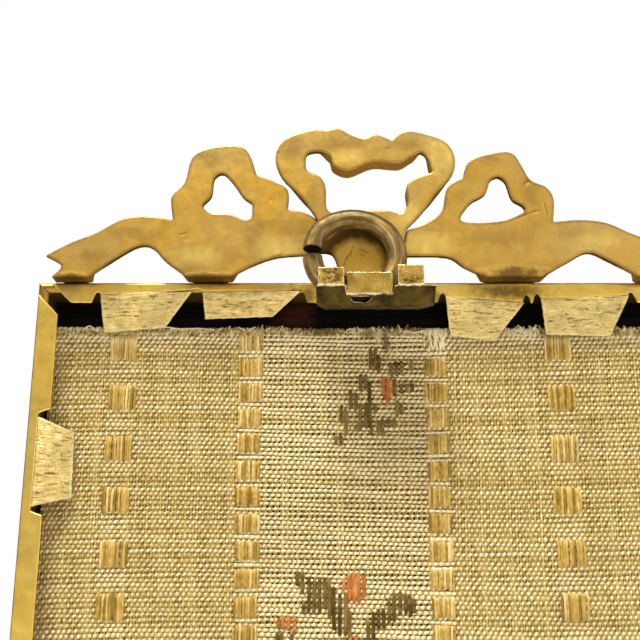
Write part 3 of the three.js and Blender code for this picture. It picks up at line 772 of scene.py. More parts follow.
def add_rail(side, material):
    """A moulded rail, mitred at both ends, with a crossed ribbon worked on its torus."""
    profile = rail_profile()
    length = side_length(side)
    stations = np.linspace(-1, 1, int(length / 0.3))
    inward, y = profile[None, :, 0], profile[None, :, 1]
    along = stations[:, None] * (length / 2 - 0.05 - inward)
    on_torus = (inward < 3.5) & (y > 2.2)
    lap = np.arctan2(y - TORUS_Y, inward - TORUS_N)
    wound = np.maximum(np.sin(along * 2.1 + 1.3 * lap), np.sin(along * 2.1 - 1.3 * lap + 0.6))
    lift = np.where(on_torus, 0.16 * (np.clip(wound, 0.55, 0.9) - 0.9) / 0.35, 0.0)
    points = on_side(side, along, inward + lift * np.cos(lap), y + lift * np.sin(lap))
    wear = 0.02 * waves(points, 2.5, 11) + 0.03 * waves(points, 11, 12)
    points[:, 1] += wear
    piece = quad_object(f"{side}_moulding", points, grid_quads(len(stations), len(profile), closed=True))
    worn = np.where(y < BACK_Y + 0.2, 0.1, 1.0 + 4 * lift)
    # Painted shade in the rebate, kept in the under attribute.
    rebate = (inward > 1.1) & (y < 2.2) & (y > BACK_Y + 0.2)
    for name, values in (("edge", worn), ("under", rebate * 1.0)):
        point_values(piece, name, np.broadcast_to(values, along.shape).ravel())
    dress(piece, material, replaces=[f"{side}_rail"])


def add_beads(side, material):
    """The row of beads in the sight edge."""
    length = side_length(side) - 2 * BEAD_INSET
    count = int(length / BEAD_PITCH)
    centres = (np.arange(count) + 0.5) * length / count - length / 2
    rings, segments = 7, 12
    polar = np.linspace(0.05, math.pi - 0.05, rings)[None, :, None]
    round_ = (np.arange(segments) * 2 * math.pi / segments)[None, None, :]
    along = centres[:, None, None] + BEAD_RADIUS * np.sin(polar) * np.cos(round_)
    inward = BEAD_INSET + BEAD_RADIUS * np.sin(polar) * np.sin(round_)
    points = on_side(side, along, inward, BEAD_Y + BEAD_RADIUS * np.cos(polar))
    quads = repeated(grid_quads(rings, segments, closed=True), count, rings * segments)
    piece = quad_object(f"{side}_beads", points, quads)
    point_values(piece, "edge", np.ones(len(points)))
    dress(piece, material, replaces=[f"{side}_beading"])


# ---------------------------------------------------------------- strips and tabs

STRIP_STAINS = [(-11.8, 115.3, 3.2, 1.2), (18.5, 114.8, 4.2, 1.1), (-38.6, 115.2, 1.6, 1.0),
                (-7.2, 114.6, 1.2, 1.4)]
# Dark spots on the top strip: painted shade with solder beside the bracket, and burnt flux under the right
# foot; centre x, z and half sizes.
SOLDER_AND_SHADE = [(-8.2, FRAME_TOP - 1.9, 2.8, 1.3), (9.9, FRAME_TOP - 2.4, 1.6, 1.2),
            (19.4, FRAME_TOP - 1.3, 4.4, 1.1)]
TAB_ROOT = 0.3      # how far a tab starts outside its crease, under the strip
TAB_COLUMNS, TAB_ROWS = 44, 34


def add_strip(side, material):
    """A retaining strip: thin sheet, a little wavy, with rough snipped edges."""
    piece = remeshed(f"{side}_retaining_strip", f"{side}_strip", 0.11, smoothing=2)
    points, normals = points_of(piece), normals_of(piece)
    thin = np.abs(normals[:, 1]) < 0.6
    points[:, 1] += 0.05 * waves(points, 5, 21) + 0.025 * waves(points, 1.6, 22)
    ragged = 0.07 * waves(points, 0.9, 23)
    for axis in (0, 2):
        points[:, axis] += np.where(thin, ragged * normals[:, axis], 0)
    set_points(piece, points)
    point_values(piece, "edge", np.where(thin, 0.1, 1.0))
    dress(piece, material, replaces=[f"{side}_strip"])


def sheet_solid(name, middle, thickness):
    """A thin solid round a grid of mid-surface points (rows, columns, 3), closed by its rims."""
    across = np.gradient(middle, axis=1)
    down = np.gradient(middle, axis=0)
    half = unit(np.cross(across, down)) * thickness / 2
    rows, columns = middle.shape[:2]
    points = np.concatenate([(middle + half).reshape(-1, 3), (middle - half).reshape(-1, 3)])
    face = grid_quads(rows, columns)
    rim = np.concatenate([
        np.arange(columns), np.arange(1, rows) * columns + columns - 1,
        (rows - 1) * columns + np.arange(columns - 2, -1, -1), np.arange(rows - 2, 0, -1) * columns])
    after = np.roll(rim, -1)
    layer = rows * columns
    walls = np.stack([rim, after, after + layer, rim + layer], axis=1)
    return quad_object(name, points, np.concatenate([face[:, ::-1], face + layer, walls]))


def leaf_corners(node):
    """A tab's mid-plane corners in the CAD: two at its crease, then the free edge's two."""
    corners = np.unique(np.round(points_of(NODES[node]), 3), axis=0)
    middles = []
    for corner in corners:
        pair = corners[np.linalg.norm(corners - corner, axis=1) < SHEET * 1.2].mean(axis=0)
        if not any(np.linalg.norm(pair - m) < 0.05 for m in middles):
            middles.append(pair)
    middles.sort(key=lambda m: m[1])
    root, tip = middles[:2], middles[2:]
    if np.linalg.norm(tip[0] - root[0]) > np.linalg.norm(tip[1] - root[0]):
        tip.reverse()
    return root + tip


def bent_leaf(node, random):
    """A tab's mid-surface, row by row from its crease: it leans as in the CAD, then curls."""
    root_a, root_b, tip_a, tip_b = leaf_corners(node)
    share = np.linspace(0, 1, TAB_COLUMNS)[:, None]
    root = root_a + (root_b - root_a) * share
    reach = tip_a + (tip_b - tip_a) * share - root
    flat = np.hypot(reach[:, 0], reach[:, 2])
    inward = reach * np.array([1, 0, 1]) / flat[:, None]
    length = np.linalg.norm(reach, axis=1) + TAB_ROOT
    lean = np.arctan2(reach[:, 1], flat)
    curl, twist = random.uniform(-0.3, 0.12), random.uniform(-0.16, 0.16)
    place = root - inward * TAB_ROOT
    rows = []
    for travelled in np.linspace(0, 1, TAB_ROWS):
        rows.append(place)
        bent = np.clip((travelled * length - 0.1) / 0.9, 0, 1)
        late = np.clip((travelled - 0.55) / 0.3, 0, 1)
        angle = lean * bent ** 0.8 + curl * late + twist * (share[:, 0] - 0.5) * late
        ahead = inward * np.cos(angle)[:, None] + xyz(0, np.sin(angle), 0)
        place = place + ahead * (length / (TAB_ROWS - 1))[:, None]
    return np.array(rows)


def add_tab(node, material, seed):
    """A tab of the strip, curving out of its crease and bent over the rebate by hand."""
    grid = bent_leaf(node, np.random.default_rng(seed))
    points = grid.reshape(-1, 3)
    firm = np.repeat(np.clip(np.linspace(0, 1, TAB_ROWS) * 3, 0, 1), TAB_COLUMNS)
    dents = firm * (0.14 * waves(points, 4.5, seed) + 0.075 * waves(points, 1.3, seed + 1))
    ragged = firm * 0.09 * waves(points, 0.8, seed + 2)
    points += xyz(ragged, -dents - 0.04, ragged * 0.8)
    piece = sheet_solid(f"{node}_leaf", grid, SHEET)
    s, w = np.meshgrid(np.linspace(0, 1, TAB_COLUMNS), np.linspace(0, 1, TAB_ROWS))
    rim = np.minimum(np.minimum(s, 1 - s) * 8, (1 - w) * 4).ravel()
    point_values(piece, "edge", np.tile(rim, 2))
    dress(piece, material, body=node, replaces=[node])


def solder_and_shade(s):
    """Painted shade with solder on the top strip beside the bracket, and burnt flux under a foot of the
    crest.
    """
    return s.times(s.near_spots(SOLDER_AND_SHADE), 0.75)


def add_strips_and_tabs():
    # The strip's tone is paler than the castings': painted light that makes up for the shade the crest
    # casts on it.
    strip = gilt_brass("strip_brass", (1.0, 0.67, 0.12), STRIP_STAINS, soot_and_shadow=solder_and_shade, filed=0.25)
    leaf = scuffed_sheet("tab_brass", (0.88, 0.65, 0.225))
    for side in SIDES:
        add_strip(side, strip)
    for number, node in enumerate(sorted(n for n in NODES if "_tab_" in n)):
        add_tab(node, leaf, 40 + 7 * number)


# ---------------------------------------------------------------- bracket and ring

WIRE, RING_RADIUS = 1.26, 5.4
WIRE_SIDES, WIRE_STEPS = 36, 300
WIRE_START, WIRE_END = 181.8, 535.6         # degrees round the ring; the two ends pass at the left
SPRUNG = 1.1                                # how far the last quarter has sprung back
SAWN_END = ((0.06, 1.1), (0.1, 0.7), (0.02, 0.02))      # beyond the end, and the section's radius
RING_LEAN = math.radians(-8.8)
RING_FOOT = np.array([-1.2, BACK_Y - 5.76, FRAME_TOP - 3.4])


def convexity(piece, points, normals):
    """How far each point stands out from its neighbours, in millimetres."""
    edges = np.zeros(len(piece.data.edges) * 2, np.int32)
    piece.data.edges.foreach_get("vertices", edges)
    a, b = edges.reshape(-1, 2).T
    total, count = np.zeros_like(points), np.zeros(len(points))
    for here, there in ((a, b), (b, a)):
        np.add.at(total, here, points[there])
        np.add.at(count, here, 1)
    return ((points - total / np.maximum(count, 1)[:, None]) * normals).sum(axis=1)


def add_bracket():
    """The folded sheet bracket: hammered, its lower edge raised at the ears and torn once."""
    piece = remeshed("ring_bracket_sheet", "ring_bracket", 0.085, smoothing=3)
    points, normals = points_of(piece), normals_of(piece)
    shine = convexity(piece, points, normals)
    rough = 0.05 * waves(points, 1.1, 31) + 0.035 * waves(points, 0.4, 32)
    points += rough[:, None] * normals
    ears = ramp01(points[:, 0], 6.6, 8.6) + ramp01(-points[:, 0], 4.8, 6.1)
    points[:, 2] += 0.4 * ears * ramp01(FRAME_TOP - 3.1 - points[:, 2], 0, 0.6)
    x, z = points[:, 0] - TEAR_X, points[:, 2] - TEAR_Z
    points[:, 0] += 0.5 * np.tanh(x / 0.35) * np.exp(-(x / 1.3) ** 2 - (z / 0.5) ** 2)
    set_points(piece, points)
    # Convexity places the painted highlights on the bracket's bends and edges.
    point_values(piece, "edge", np.clip(shine / 0.012, 0, 1))
    dress(piece, bracket_brass(), replaces=["ring_bracket"])


def leaning(points):
    """The ring's own points, leaned back on the crest and set down in the bracket."""
    cos, sin = math.cos(RING_LEAN), math.sin(RING_LEAN)
    return points @ np.array([[1, 0, 0], [0, cos, sin], [0, -sin, cos]]) + RING_FOOT


def add_ring():
    """The split ring: worn round wire whose ends pass each other at the left."""
    share = np.linspace(0, 1, WIRE_STEPS)
    turn = np.radians(WIRE_START + (WIRE_END - WIRE_START) * share)
    outward = xyz(np.cos(turn), 0, np.sin(turn))
    centre = RING_RADIUS * outward + xyz(0, -SPRUNG * ramp01(share, 0.72, 1.0), RING_RADIUS)
    along = unit(np.gradient(centre, axis=0))
    beyond, narrow = np.array(SAWN_END).T
    ends = len(SAWN_END)
    places = np.concatenate([
        centre[0] - along[0] * beyond[::-1, None], centre, centre[-1] + along[-1] * beyond[:, None]])
    thick = np.concatenate([narrow[::-1], np.full(WIRE_STEPS, WIRE), narrow])[:, None]
    station = np.clip(np.arange(len(places)) - ends, 0, WIRE_STEPS - 1)
    around = np.arange(WIRE_SIDES) * 2 * math.pi / WIRE_SIDES
    out_part, side_part = thick * np.cos(around), thick * np.sin(around)
    skin = out_part[..., None] * outward[station][:, None] + xyz(0, side_part, 0)
    points = (places[:, None] + skin).reshape(-1, 3)
    worn = 0.05 * (waves(points, 3.0, 51) + 0.5 * waves(points, 0.9, 52))
    points = leaning(points + worn[:, None] * skin.reshape(-1, 3) / WIRE)
    quads = grid_quads(len(places), WIRE_SIDES, closed=True)[:, ::-1]
    piece = quad_object("hanging_ring_wire", points, quads)
    point_values(piece, "end", np.repeat(thick < WIRE, WIRE_SIDES))
    # Painted shade, kept in the under attribute: inside the bracket and on the wire's downward-facing side.
    in_bracket = ramp01(FRAME_TOP - 2.6 - points[:, 2], 0, 0.8)
    point_values(piece, "under", np.maximum(in_bracket, ramp01(-normals_of(piece)[:, 2], 0.1, 0.9)))
    wrapped = xyz(RING_RADIUS * (turn[station] - turn[0])[:, None], out_part, side_part)
    wire_place = piece.data.attributes.new("wire", "FLOAT_VECTOR", "POINT")
    wire_place.data.foreach_set("vector", (wrapped * MM).astype(np.float32).ravel())
    dress(piece, ring_bronze(), body="hanging_ring", replaces=["hanging_ring"])


# ---------------------------------------------------------------- silk

SILK_LOW, SILK_HIGH = box_mm("silk_cover")
SILK_BACK = SILK_LOW[1]
SILK_LEFT, SILK_RIGHT = SILK_LOW[0], SILK_HIGH[0]
SILK_BOTTOM, SILK_TOP = SILK_LOW[2], SILK_HIGH[2]
WARP_PITCH, WEFT_PITCH = 0.35, 0.585
QUADS_A_PIECE = 95000                            # the yarns go into pieces no larger than this
CENTRE_BAND = (-13.2, 8.05)                      # the open, unfigured ground behind the ring
WIDE_STRIPES = [(-33.0, -29.5), (23.8, 27.2)]    # large float squares, with ground between them
CLOSE_STRIPES = [(-16.2, -13.2), (8.05, 10.9)]   # small ones, one above another
WIDE_REPEAT, CLOSE_REPEAT = 6.7, 3.35
BRIGHT_EDGE = [(-1.6, 2.6), (7.9, 11.0), (18.5, 23.0)]     # where the cut edge is clean and pale
FUZZ_COUNT, PULLED_COUNT = 1100, 16
# Threads that lie loose on the cloth's upper edge: the points (x, z) each one passes through.
LOOSE_THREADS = [
    [(-2.4, 109.8), (-1.6, 110.3), (-0.9, 109.7), (-0.1, 110.2), (0.6, 109.6), (1.7, 109.4), (2.1, 108.2)],
    [(0.9, 109.9), (1.8, 109.2), (2.9, 108.2), (3.6, 107.0), (4.2, 106.9), (4.5, 107.6)],
    [(2.6, 110.6), (3.2, 110.0), (3.1, 108.6), (3.6, 107.4)],
    [(-26.0, 110.6), (-24.0, 110.3), (-21.5, 110.4), (-19.5, 110.2)],
    [(-36.9, 110.2), (-36.0, 110.7), (-35.1, 110.1), (-34.6, 110.5)],
    [(5.6, 110.1), (6.8, 109.8), (7.9, 110.1), (8.8, 109.7)],
]

# A sprig is drawn with warp-wise floats, a little apart: (x, top z, bottom z, how many side by
# side), from the sprig's own origin. Leaves are olive-brown, and the flowers coral.
BUD_LEAVES = [
    (1.0, 12.6, 9.8, 2), (2.0, 11.8, 9.6, 1), (-0.4, 9.2, 7.1, 2), (0.8, 8.0, 1.7, 1), (-1.6, 7.2, 4.6, 1),
    (-0.9, 6.7, 4.4, 1), (-0.4, 5.5, 1.9, 2), (-2.9, 5.1, 2.7, 1), (-2.3, 4.6, 1.3, 1),
    (-3.5, 1.3, -0.2, 2), (4.4, 10.9, 9.2, 2), (6.2, 11.0, 9.6, 1), (5.0, 8.0, 6.7, 3),
    (1.6, 5.5, 4.2, 1), (4.3, 5.5, 3.9, 2), (-0.9, 2.6, 1.6, 1), (0.9, 2.4, 1.3, 1),
    (1.9, 3.0, 1.4, 2), (3.2, 3.0, 2.2, 2), (3.6, 10.9, 9.0, 1), (4.05, 8.4, 6.5, 1),
]
BUD_FLOWERS = [(2.6, 8.8, 6.0, 1), (3.05, 8.7, 5.2, 1), (3.5, 8.6, 6.0, 1)]
BLOOM_LEAVES = [
    (-8.3, 8.0, 6.5, 1), (-7.7, 8.1, 5.6, 1), (-7.5, 4.7, 3.1, 1), (-6.9, 7.3, 3.0, 3), (-5.0, 7.4, 3.8, 1),
    (-4.4, 7.1, 2.4, 1), (-3.8, 6.3, 1.2, 1), (-3.1, 5.4, 0.5, 2), (-2.0, 3.5, 0.1, 1), (0.3, 2.2, 0.1, 1),
    (0.9, 3.4, 0.2, 1), (1.5, 3.8, 1.2, 2), (2.9, 5.4, 2.4, 2), (4.2, 5.4, 2.8, 3), (6.0, 4.7, 3.1, 1),
    (-10.8, 0.9, -0.2, 2), (-9.0, 0.9, -0.2, 1),
]
BLOOM_FLOWERS = [
    (-2.7, 7.4, 6.1, 1), (-2.0, 7.9, 4.4, 3), (-0.1, 7.3, 5.0, 1), (-1.7, 7.6, 4.7, 2),
    (-10.6, 2.7, 1.2, 4), (-1.9, 0.6, -0.9, 2),
]
BUD_ORIGIN, BLOOM_ORIGIN, SPRIG_REPEAT, DASH_PITCH = 95.0, 71.2, 45.0, 0.62


def in_stripe(x, stripes, soft=0.25):
    """1 inside any of the stripes (left, right), with soft borders."""
    inside = 0 * x
    for left, right in stripes:
        within = ramp01(x, left - soft, left + soft) * (1 - ramp01(x, right - soft, right + soft))
        inside = np.maximum(inside, within)
    return inside


def openness(x):
    """1 in the open middle band of the cloth, 0 in the dense bands beside it."""
    return in_stripe(x, [CENTRE_BAND], 0.3)


def warp_drift(z, x):
    """Warps wander a little, the same way as their neighbours."""
    return 0.10 * np.sin(z / 17 + x / 21) + 0.07 * np.sin(z / 3.1 + x * 1.9)


def weft_drift(x, z):
    return 0.25 * np.sin(x / 13 + z / 24) + 0.06 * np.sin(x / 2.3 + z * 2.3)


def uneven(random, shape, base, each, along):
    """A value for every station of every yarn: each yarn differs, and so does each station."""
    return base + each * random.normal(size=(shape[0], 1)) + along * random.normal(size=shape)


def yarns(name, centre, half_width, half_thick, tone, material, sides):
    """Flattened round yarns from centre lines (yarns, stations, 3), in pieces of bounded size."""
    count, stations = centre.shape[:2]
    along = unit(np.gradient(centre, axis=1))
    across = unit(np.cross(along, np.array([0, -1.0, 0])))
    up = np.cross(across, along)
    around = (np.arange(sides) + 0.5) * 2 * math.pi / sides
    wide = np.broadcast_to(half_width, (count, stations))[..., None, None] * np.cos(around)[:, None]
    deep = half_thick * np.sin(around)[:, None]
    skin = centre[:, :, None, :] + wide * across[:, :, None, :] + deep * up[:, :, None, :]
    shades = np.repeat(np.broadcast_to(tone, (count, stations)), sides, axis=1)
    one = grid_quads(stations, sides, closed=True)
    each = QUADS_A_PIECE // len(one)
    made = []
    for number, first in enumerate(range(0, count, each)):
        part = skin[first:first + each]
        quads = repeated(one, len(part), stations * sides)
        piece = quad_object(f"{name}_{number + 1}", part.reshape(-1, 3), quads)
        point_values(piece, "tone", shades[first:first + each].ravel())
        made.append(dress(piece, material))
    return made


def over_edge(places, low, high, back, front, radius):
    """Turns a straight run from low to high into one that folds round the board at both ends."""
    fold = radius * math.pi / 2
    beyond_high, beyond_low = places - (high - radius), (low + radius) - places
    beyond = np.maximum(beyond_high, beyond_low)
    turn = np.clip(beyond / radius, 0, math.pi / 2)
    depth = back + radius * (1 - np.cos(turn)) + np.maximum(beyond - fold, 0)
    straight = np.clip(places, low + radius, high - radius)
    sign = np.where(beyond_high > 0, 1, -1)
    return straight + np.where(beyond > 0, sign * radius * np.sin(turn), 0), np.minimum(depth, front)


def lay_warps(material, seed=71):
    """Upright yarns: even in the dense bands, and in pairs in the open one."""
    random = np.random.default_rng(seed)
    xs = np.arange(SILK_LEFT + 0.3, SILK_RIGHT - 0.2, WARP_PITCH)
    number = np.arange(len(xs))[:, None]
    xs = xs + 0.055 * np.where(number[:, 0] % 2 == 0, 1, -1) * openness(xs)
    turned = 1.3
    flat = np.arange(SILK_BOTTOM - turned, SILK_TOP + turned, WEFT_PITCH / 2)
    z, y = over_edge(flat, SILK_BOTTOM + 0.1, SILK_TOP - 0.1, SILK_BACK + 0.15, -0.25, 0.45)
    wave = np.cos(math.pi * ((flat[None] - SILK_BOTTOM - 0.4) / WEFT_PITCH + number))
    place = np.broadcast_to(xs[:, None], (len(xs), len(flat)))
    open_ = openness(place)
    centre = xyz(place + warp_drift(z[None], place) + 0.015 * random.normal(size=place.shape),
                 y[None] - 0.05 * wave + 0.035 * open_, z[None])
    slub = 1 + 0.14 * random.normal(size=(len(xs), 1)) + 0.07 * np.sin(flat[None] / 2 + 9 * number)
    half = (0.145 - 0.025 * open_) * slub
    tone = uneven(random, place.shape, 0.34, 0.07, 0.08) - 0.02 * open_
    # Painted light near the top edge, against the shade of the rail and crest.
    tone = tone + 0.5 * ramp01(z, SILK_TOP - 2.5, SILK_TOP - 0.3)
    return yarns("silk_warps", centre, half, 0.07, tone, material, sides=5)


def lay_wefts(material, seed=72):
    """Cross yarns: a painted highlight where they pass over a warp and painted shade where they pass under,
    and spread between the float squares.
    """
    random = np.random.default_rng(seed)
    zs = np.arange(SILK_BOTTOM + 0.4, SILK_TOP - 0.25, WEFT_PITCH)
    turned = 1.0
    flat = np.arange(SILK_LEFT - turned, SILK_RIGHT + turned, WARP_PITCH / 3)
    x, y = over_edge(flat, SILK_LEFT + 0.1, SILK_RIGHT - 0.1, SILK_BACK + 0.15, -0.25, 0.4)
    across, place = np.broadcast_arrays(x[None], zs[:, None])
    drift = warp_drift(place, across)
    phase = math.pi * ((flat[None] - drift - SILK_LEFT - 0.3) / WARP_PITCH + np.arange(len(zs))[:, None])
    open_ = openness(across)
    height = place + weft_drift(across, place) - (0.085 - 0.05 * open_) * np.sin(phase)
    height = height + 0.012 * random.normal(size=place.shape)
    gaps = in_stripe(across, CLOSE_STRIPES) * between_squares(place, CLOSE_REPEAT)
    gaps = np.maximum(gaps, 0.35 * in_stripe(across, WIDE_STRIPES) * between_squares(place, WIDE_REPEAT))
    depth = y[None] + (0.07 - 0.045 * gaps) * np.cos(phase) - 0.05 * gaps
    slub = uneven(random, place.shape, 1, 0.12, 0.1)
    half = (0.2 + 0.03 * gaps) * np.clip(slub, 0.6, 1.5)
    # Painted light and shade on the crimp: paler over a warp, darker under it.
    over = (0.5 - 0.5 * np.cos(phase)) ** 1.25
    tone = uneven(random, place.shape, 0.08, 0.09, 0.1) + 0.80 * over
    tone = tone + (0.3 + 0.35 * (1 - over)) * np.maximum(gaps, 0.65 * open_) + 0.05 * np.sin(place * 1.7)
    # Painted light near the top edge, against the shade of the rail and crest.
    tone = tone + 0.5 * ramp01(place, SILK_TOP - 4, SILK_TOP - 0.4)
    centre = xyz(across, depth, height + 0.07 * gaps * np.sin(phase))
    return yarns("silk_wefts", centre, half, 0.095, tone, material, sides=5)


def square_top(repeat, number):
    """The height of a square's top: the wide stripes' squares stand closer lower down."""
    if repeat == CLOSE_REPEAT:
        return 109.7 - repeat * number
    return 109.4 - repeat * number + 0.03 * number ** 2


def between_squares(z, repeat):
    """1 on the wefts that show between one float square and the next."""
    count, filled = (60, 0.70) if repeat == CLOSE_REPEAT else (24, 0.48)
    numbers = np.arange(-1, count)
    share = np.interp(-z, -square_top(repeat, numbers), numbers) % 1.0
    return ramp01(share, filled - 0.03, filled + 0.05) * (1 - ramp01(share, 0.94, 0.99))


def float_lines(columns, stations, lift):
    """Centre lines of floats from (x, top, bottom), each dipping into the cloth at its ends."""
    x, top, bottom = np.array(columns, float).T[..., None]
    share = np.linspace(0, 1, stations)
    z = top + (bottom - top) * share
    raised = np.minimum(1, 3.2 * np.sqrt(share * (1 - share)))
    bow = 0.05 * np.sin(math.pi * share) * np.sin(7 * x)
    return xyz(x + warp_drift(z, x) + bow, SILK_BACK + 0.16 - (0.16 + lift) * raised, z)


def add_squares(material, seed=73):
    """The brocade's float squares: twelve fine warp floats to each."""
    random = np.random.default_rng(seed)
    columns, stations = [], 9
    for stripes, repeat, tall, count in (
            (WIDE_STRIPES, WIDE_REPEAT, 3.25, 24), (CLOSE_STRIPES, CLOSE_REPEAT, 2.35, 40)):
        for stripe in stripes:
            tops = square_top(repeat, np.arange(count))
            tops = tops[tops > SILK_BOTTOM + tall + 0.5]
            pulled_out = stripe == CLOSE_STRIPES[1]
            for top in tops[1:] if pulled_out else tops:
                for x in np.linspace(stripe[0] + 0.15, stripe[1] - 0.15, 12):
                    loose = random.normal(size=2) * 0.09
                    columns.append((x + 0.03 * random.normal(), top + loose[0], top - tall + loose[1]))
    lines = float_lines(columns, stations, lift=0.1)
    tone = uneven(random, lines.shape[:2], 0.36, 0.27, 0.12)
    tone = tone + 0.25 * np.abs(np.linspace(-1, 1, stations)) ** 3
    # Painted light near the top edge, against the shade of the rail and crest.
    tone = tone + 0.4 * ramp01(lines[..., 2], SILK_TOP - 3.4, SILK_TOP - 2)
    return yarns("silk_squares", lines, 0.16, 0.1, tone, material, sides=8)


def sprig_dashes(random, origin, dashes):
    """The floats (x, top, bottom) of one sprig, a little ragged, as far as the cloth goes."""
    for x, top, bottom, count in dashes:
        for i in range(count):
            ragged = random.normal(size=2) * 0.15
            low = origin + bottom + ragged[1]
            if low > SILK_BOTTOM + 0.6:
                yield x + DASH_PITCH * i, origin + top + ragged[0], low


def add_sprigs(leaf_material, flower_material, seed=74):
    """Two sprigs, one above the other, at the brocade's long repeat."""
    random = np.random.default_rng(seed)
    leaf_floats, flower_floats = [], []
    for start, leaves, flowers in (
            (BUD_ORIGIN, BUD_LEAVES, BUD_FLOWERS), (BLOOM_ORIGIN, BLOOM_LEAVES, BLOOM_FLOWERS)):
        for origin in np.arange(start, SILK_BOTTOM, -SPRIG_REPEAT):
            leaf_floats += sprig_dashes(random, origin, leaves)
            flower_floats += sprig_dashes(random, origin, flowers)
    made = []
    for kind, floats, material in (
            ("leaves", leaf_floats, leaf_material), ("flowers", flower_floats, flower_material)):
        lines = float_lines(floats, 9, lift=0.08)
        tone = uneven(random, lines.shape[:2], 0.45, 0.22, 0.22)
        made += yarns(f"silk_sprig_{kind}", lines, 0.235, 0.1, tone, material, sides=8)
    return made


def add_fuzz(random, material):
    """Fibres that stand out along the cut edge, in denser and thinner places."""
    one_each = (FUZZ_COUNT, 1)
    share = np.linspace(0, 1, 7)[None]
    x = np.sort(random.uniform(SILK_LEFT + 0.6, SILK_RIGHT - 0.6, FUZZ_COUNT))[:, None]
    tuft = ramp01(np.sin(x / 2.7) + 0.6 * np.sin(x / 0.9 + 2), -0.6, 1.4)
    length = 0.45 + 0.6 * tuft * random.uniform(0, 1, one_each)
    lean, curl = random.normal(size=one_each), random.normal(size=one_each)
    start = SILK_TOP - random.uniform(0.5, 1.4, one_each)
    sideways = length * share * lean * 0.35 + 0.08 * curl * np.sin(5 * share)
    inward = 0.25 * share * random.uniform(0, 1, one_each) - 0.14 * np.sin(3 * share)
    centre = xyz(x + sideways, SILK_BACK - 0.05 + inward, start + length * share * 0.85)
    tone = 0.45 + 0.6 * in_stripe(x, BRIGHT_EDGE, 0.5) + 0.3 * random.normal(size=one_each)
    thick = np.minimum(0.06 + 0.03 * random.normal(size=one_each) ** 2, 0.13)
    return yarns("silk_fuzz", centre, thick, 0.05, tone, material, sides=5)


def add_pulled(random, material):
    """A tuft of warp ends, pulled out of the top of the right close stripe."""
    stations = 12
    left, right = CLOSE_STRIPES[1]
    ends = [(place + 0.12 * random.normal(), SILK_TOP - 0.25, SILK_TOP - 3.1 + 0.15 * random.normal())
            for place in np.linspace(left + 0.1, right - 0.1, PULLED_COUNT)]
    pulled = float_lines(ends, stations, lift=0.16)
    phase = 5 * random.uniform(size=(PULLED_COUNT, 1))
    pulled[..., 0] += 0.16 * np.sin(np.linspace(0, 5, stations)[None] + phase)
    tone = uneven(random, pulled.shape[:2], 1.1, 0.35, 0.1)
    return yarns("silk_pulled", pulled, 0.13, 0.08, tone, material, sides=6)


def add_loose(material):
    """A few threads lying in loops on the cloth's upper edge."""
    threads = []
    for knots in LOOSE_THREADS:
        at = np.linspace(0, len(knots) - 1, 40)
        x, z = (smooth_through(values, at) for values in np.array(knots, float).T)
        threads.append(xyz(x, SILK_BACK - 0.2 - 0.1 * np.sin(at * 2.1), z))
    return yarns("silk_loose", np.array(threads), 0.085, 0.07, 0.95, material, sides=6)


def smooth_through(values, at):
    """A smooth curve through evenly spaced values (Catmull-Rom), read at the given places."""
    padded = np.concatenate([values[:1] * 2 - values[1:2], values, values[-1:] * 2 - values[-2:-1]])
    i = np.clip(at.astype(int), 0, len(values) - 2)
    t = at - i
    a, b, c, d = (padded[i + step] for step in range(4))
    square, cube = (2 * a - 5 * b + 4 * c - d) * t ** 2, (3 * b - a - 3 * c + d) * t ** 3
    return 0.5 * (2 * b + (c - a) * t + square + cube)


def add_frays(material, seed=75):
    """What has come loose along the cut top edge."""
    random = np.random.default_rng(seed)
    fuzz = add_fuzz(random, material)
    return fuzz + add_loose(material) + add_pulled(random, material)


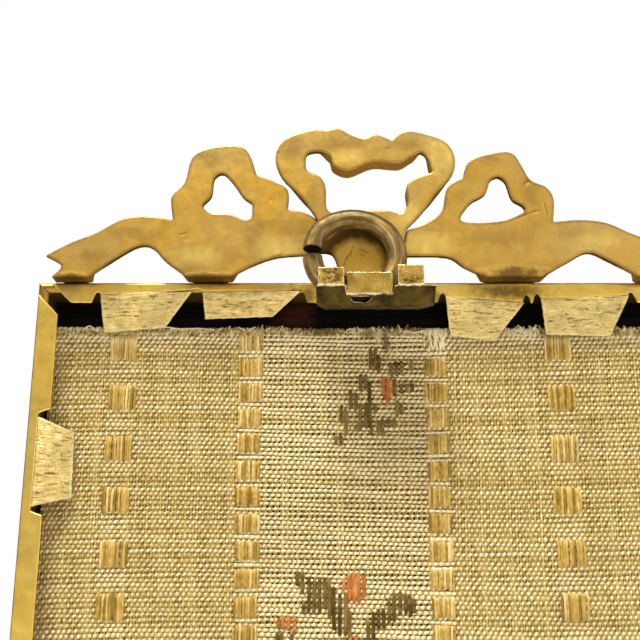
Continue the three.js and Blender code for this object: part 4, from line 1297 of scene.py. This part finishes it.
def add_ground_cloth(material):
    """The cloth's ground: one sheet over the board's back, turned over its four edges."""
    turned = 1.15
    flat_x = np.linspace(SILK_LEFT - turned, SILK_RIGHT + turned, 120)
    flat_z = np.linspace(SILK_BOTTOM - turned, SILK_TOP + turned, 150)
    x, y_side = over_edge(flat_x, SILK_LEFT + 0.22, SILK_RIGHT - 0.22, SILK_BACK + 0.27, -0.2, 0.3)
    z, y_end = over_edge(flat_z, SILK_BOTTOM + 0.22, SILK_TOP - 0.22, SILK_BACK + 0.27, -0.2, 0.3)
    points = xyz(x[None], np.maximum(y_side[None], y_end[:, None]), z[:, None]).reshape(-1, 3)
    piece = quad_object("silk_ground", points, grid_quads(len(z), len(x)))
    # Near black under the open band: painted shade seen through the holes.
    point_values(piece, "tone", 0.28 - 0.28 * openness(points[:, 0]))
    dress(piece, material, replaces=["silk_cover"])


def add_silk():
    """The brocade, yarn by yarn, over its ground."""
    tan, cream = (0.17, 0.080, 0.006), (1.0, 0.87, 0.54)
    warp = silk_material("silk_warp", tan, cream, (0.09, 0.09, 0.9))
    weft = silk_material("silk_weft", tan, cream, (0.9, 0.09, 0.09))
    ground = silk_material("silk_ground", (0.028, 0.011, 0.001), (0.42, 0.24, 0.05), (0.3, 0.3, 0.3))
    floats = silk_material("silk_floats", (0.26, 0.15, 0.02), (0.88, 0.66, 0.28), (0.06, 0.06, 1.2))
    leaves = silk_material("silk_leaves", (0.045, 0.029, 0.001), (0.20, 0.13, 0.014), (0.06, 0.06, 1.0))
    coral = silk_material("silk_coral", (0.32, 0.085, 0.012), (0.72, 0.26, 0.075), (0.06, 0.06, 1.0))
    made = lay_warps(warp) + lay_wefts(weft) + add_squares(floats)
    made += add_sprigs(leaves, coral) + add_frays(weft)
    add_ground_cloth(ground)


# ---------------------------------------------------------------- glass, mat, picture and board


def dress_nodes():
    """The flat pieces keep their CAD shape and take a finish."""
    mat = card_material("window_mat", (0.80, 0.68, 0.49), (0.5, 0.34, 0.17), "window_mat")
    board = card_material("greyboard", (0.27, 0.22, 0.16), (0.12, 0.09, 0.06))
    finishes = {
        "glass": (glass_material(), "glass"),
        "window_mat": (mat, "mat_card"),
        "picture_card": (print_material(), "print_card"),
        "backing_board": (board, "greyboard"),
    }
    for node, (material, slot) in finishes.items():
        NODES[node].data.materials.clear()
        NODES[node].data.materials.append(material)


# ---------------------------------------------------------------- assembly

add_crest()
moulding = gilt_brass("moulding_gilt")
for side_name in SIDES:
    add_rail(side_name, moulding)
    add_beads(side_name, moulding)
add_strips_and_tabs()
add_bracket()
add_ring()
add_silk()
dress_nodes()
make_stage()
make_camera()
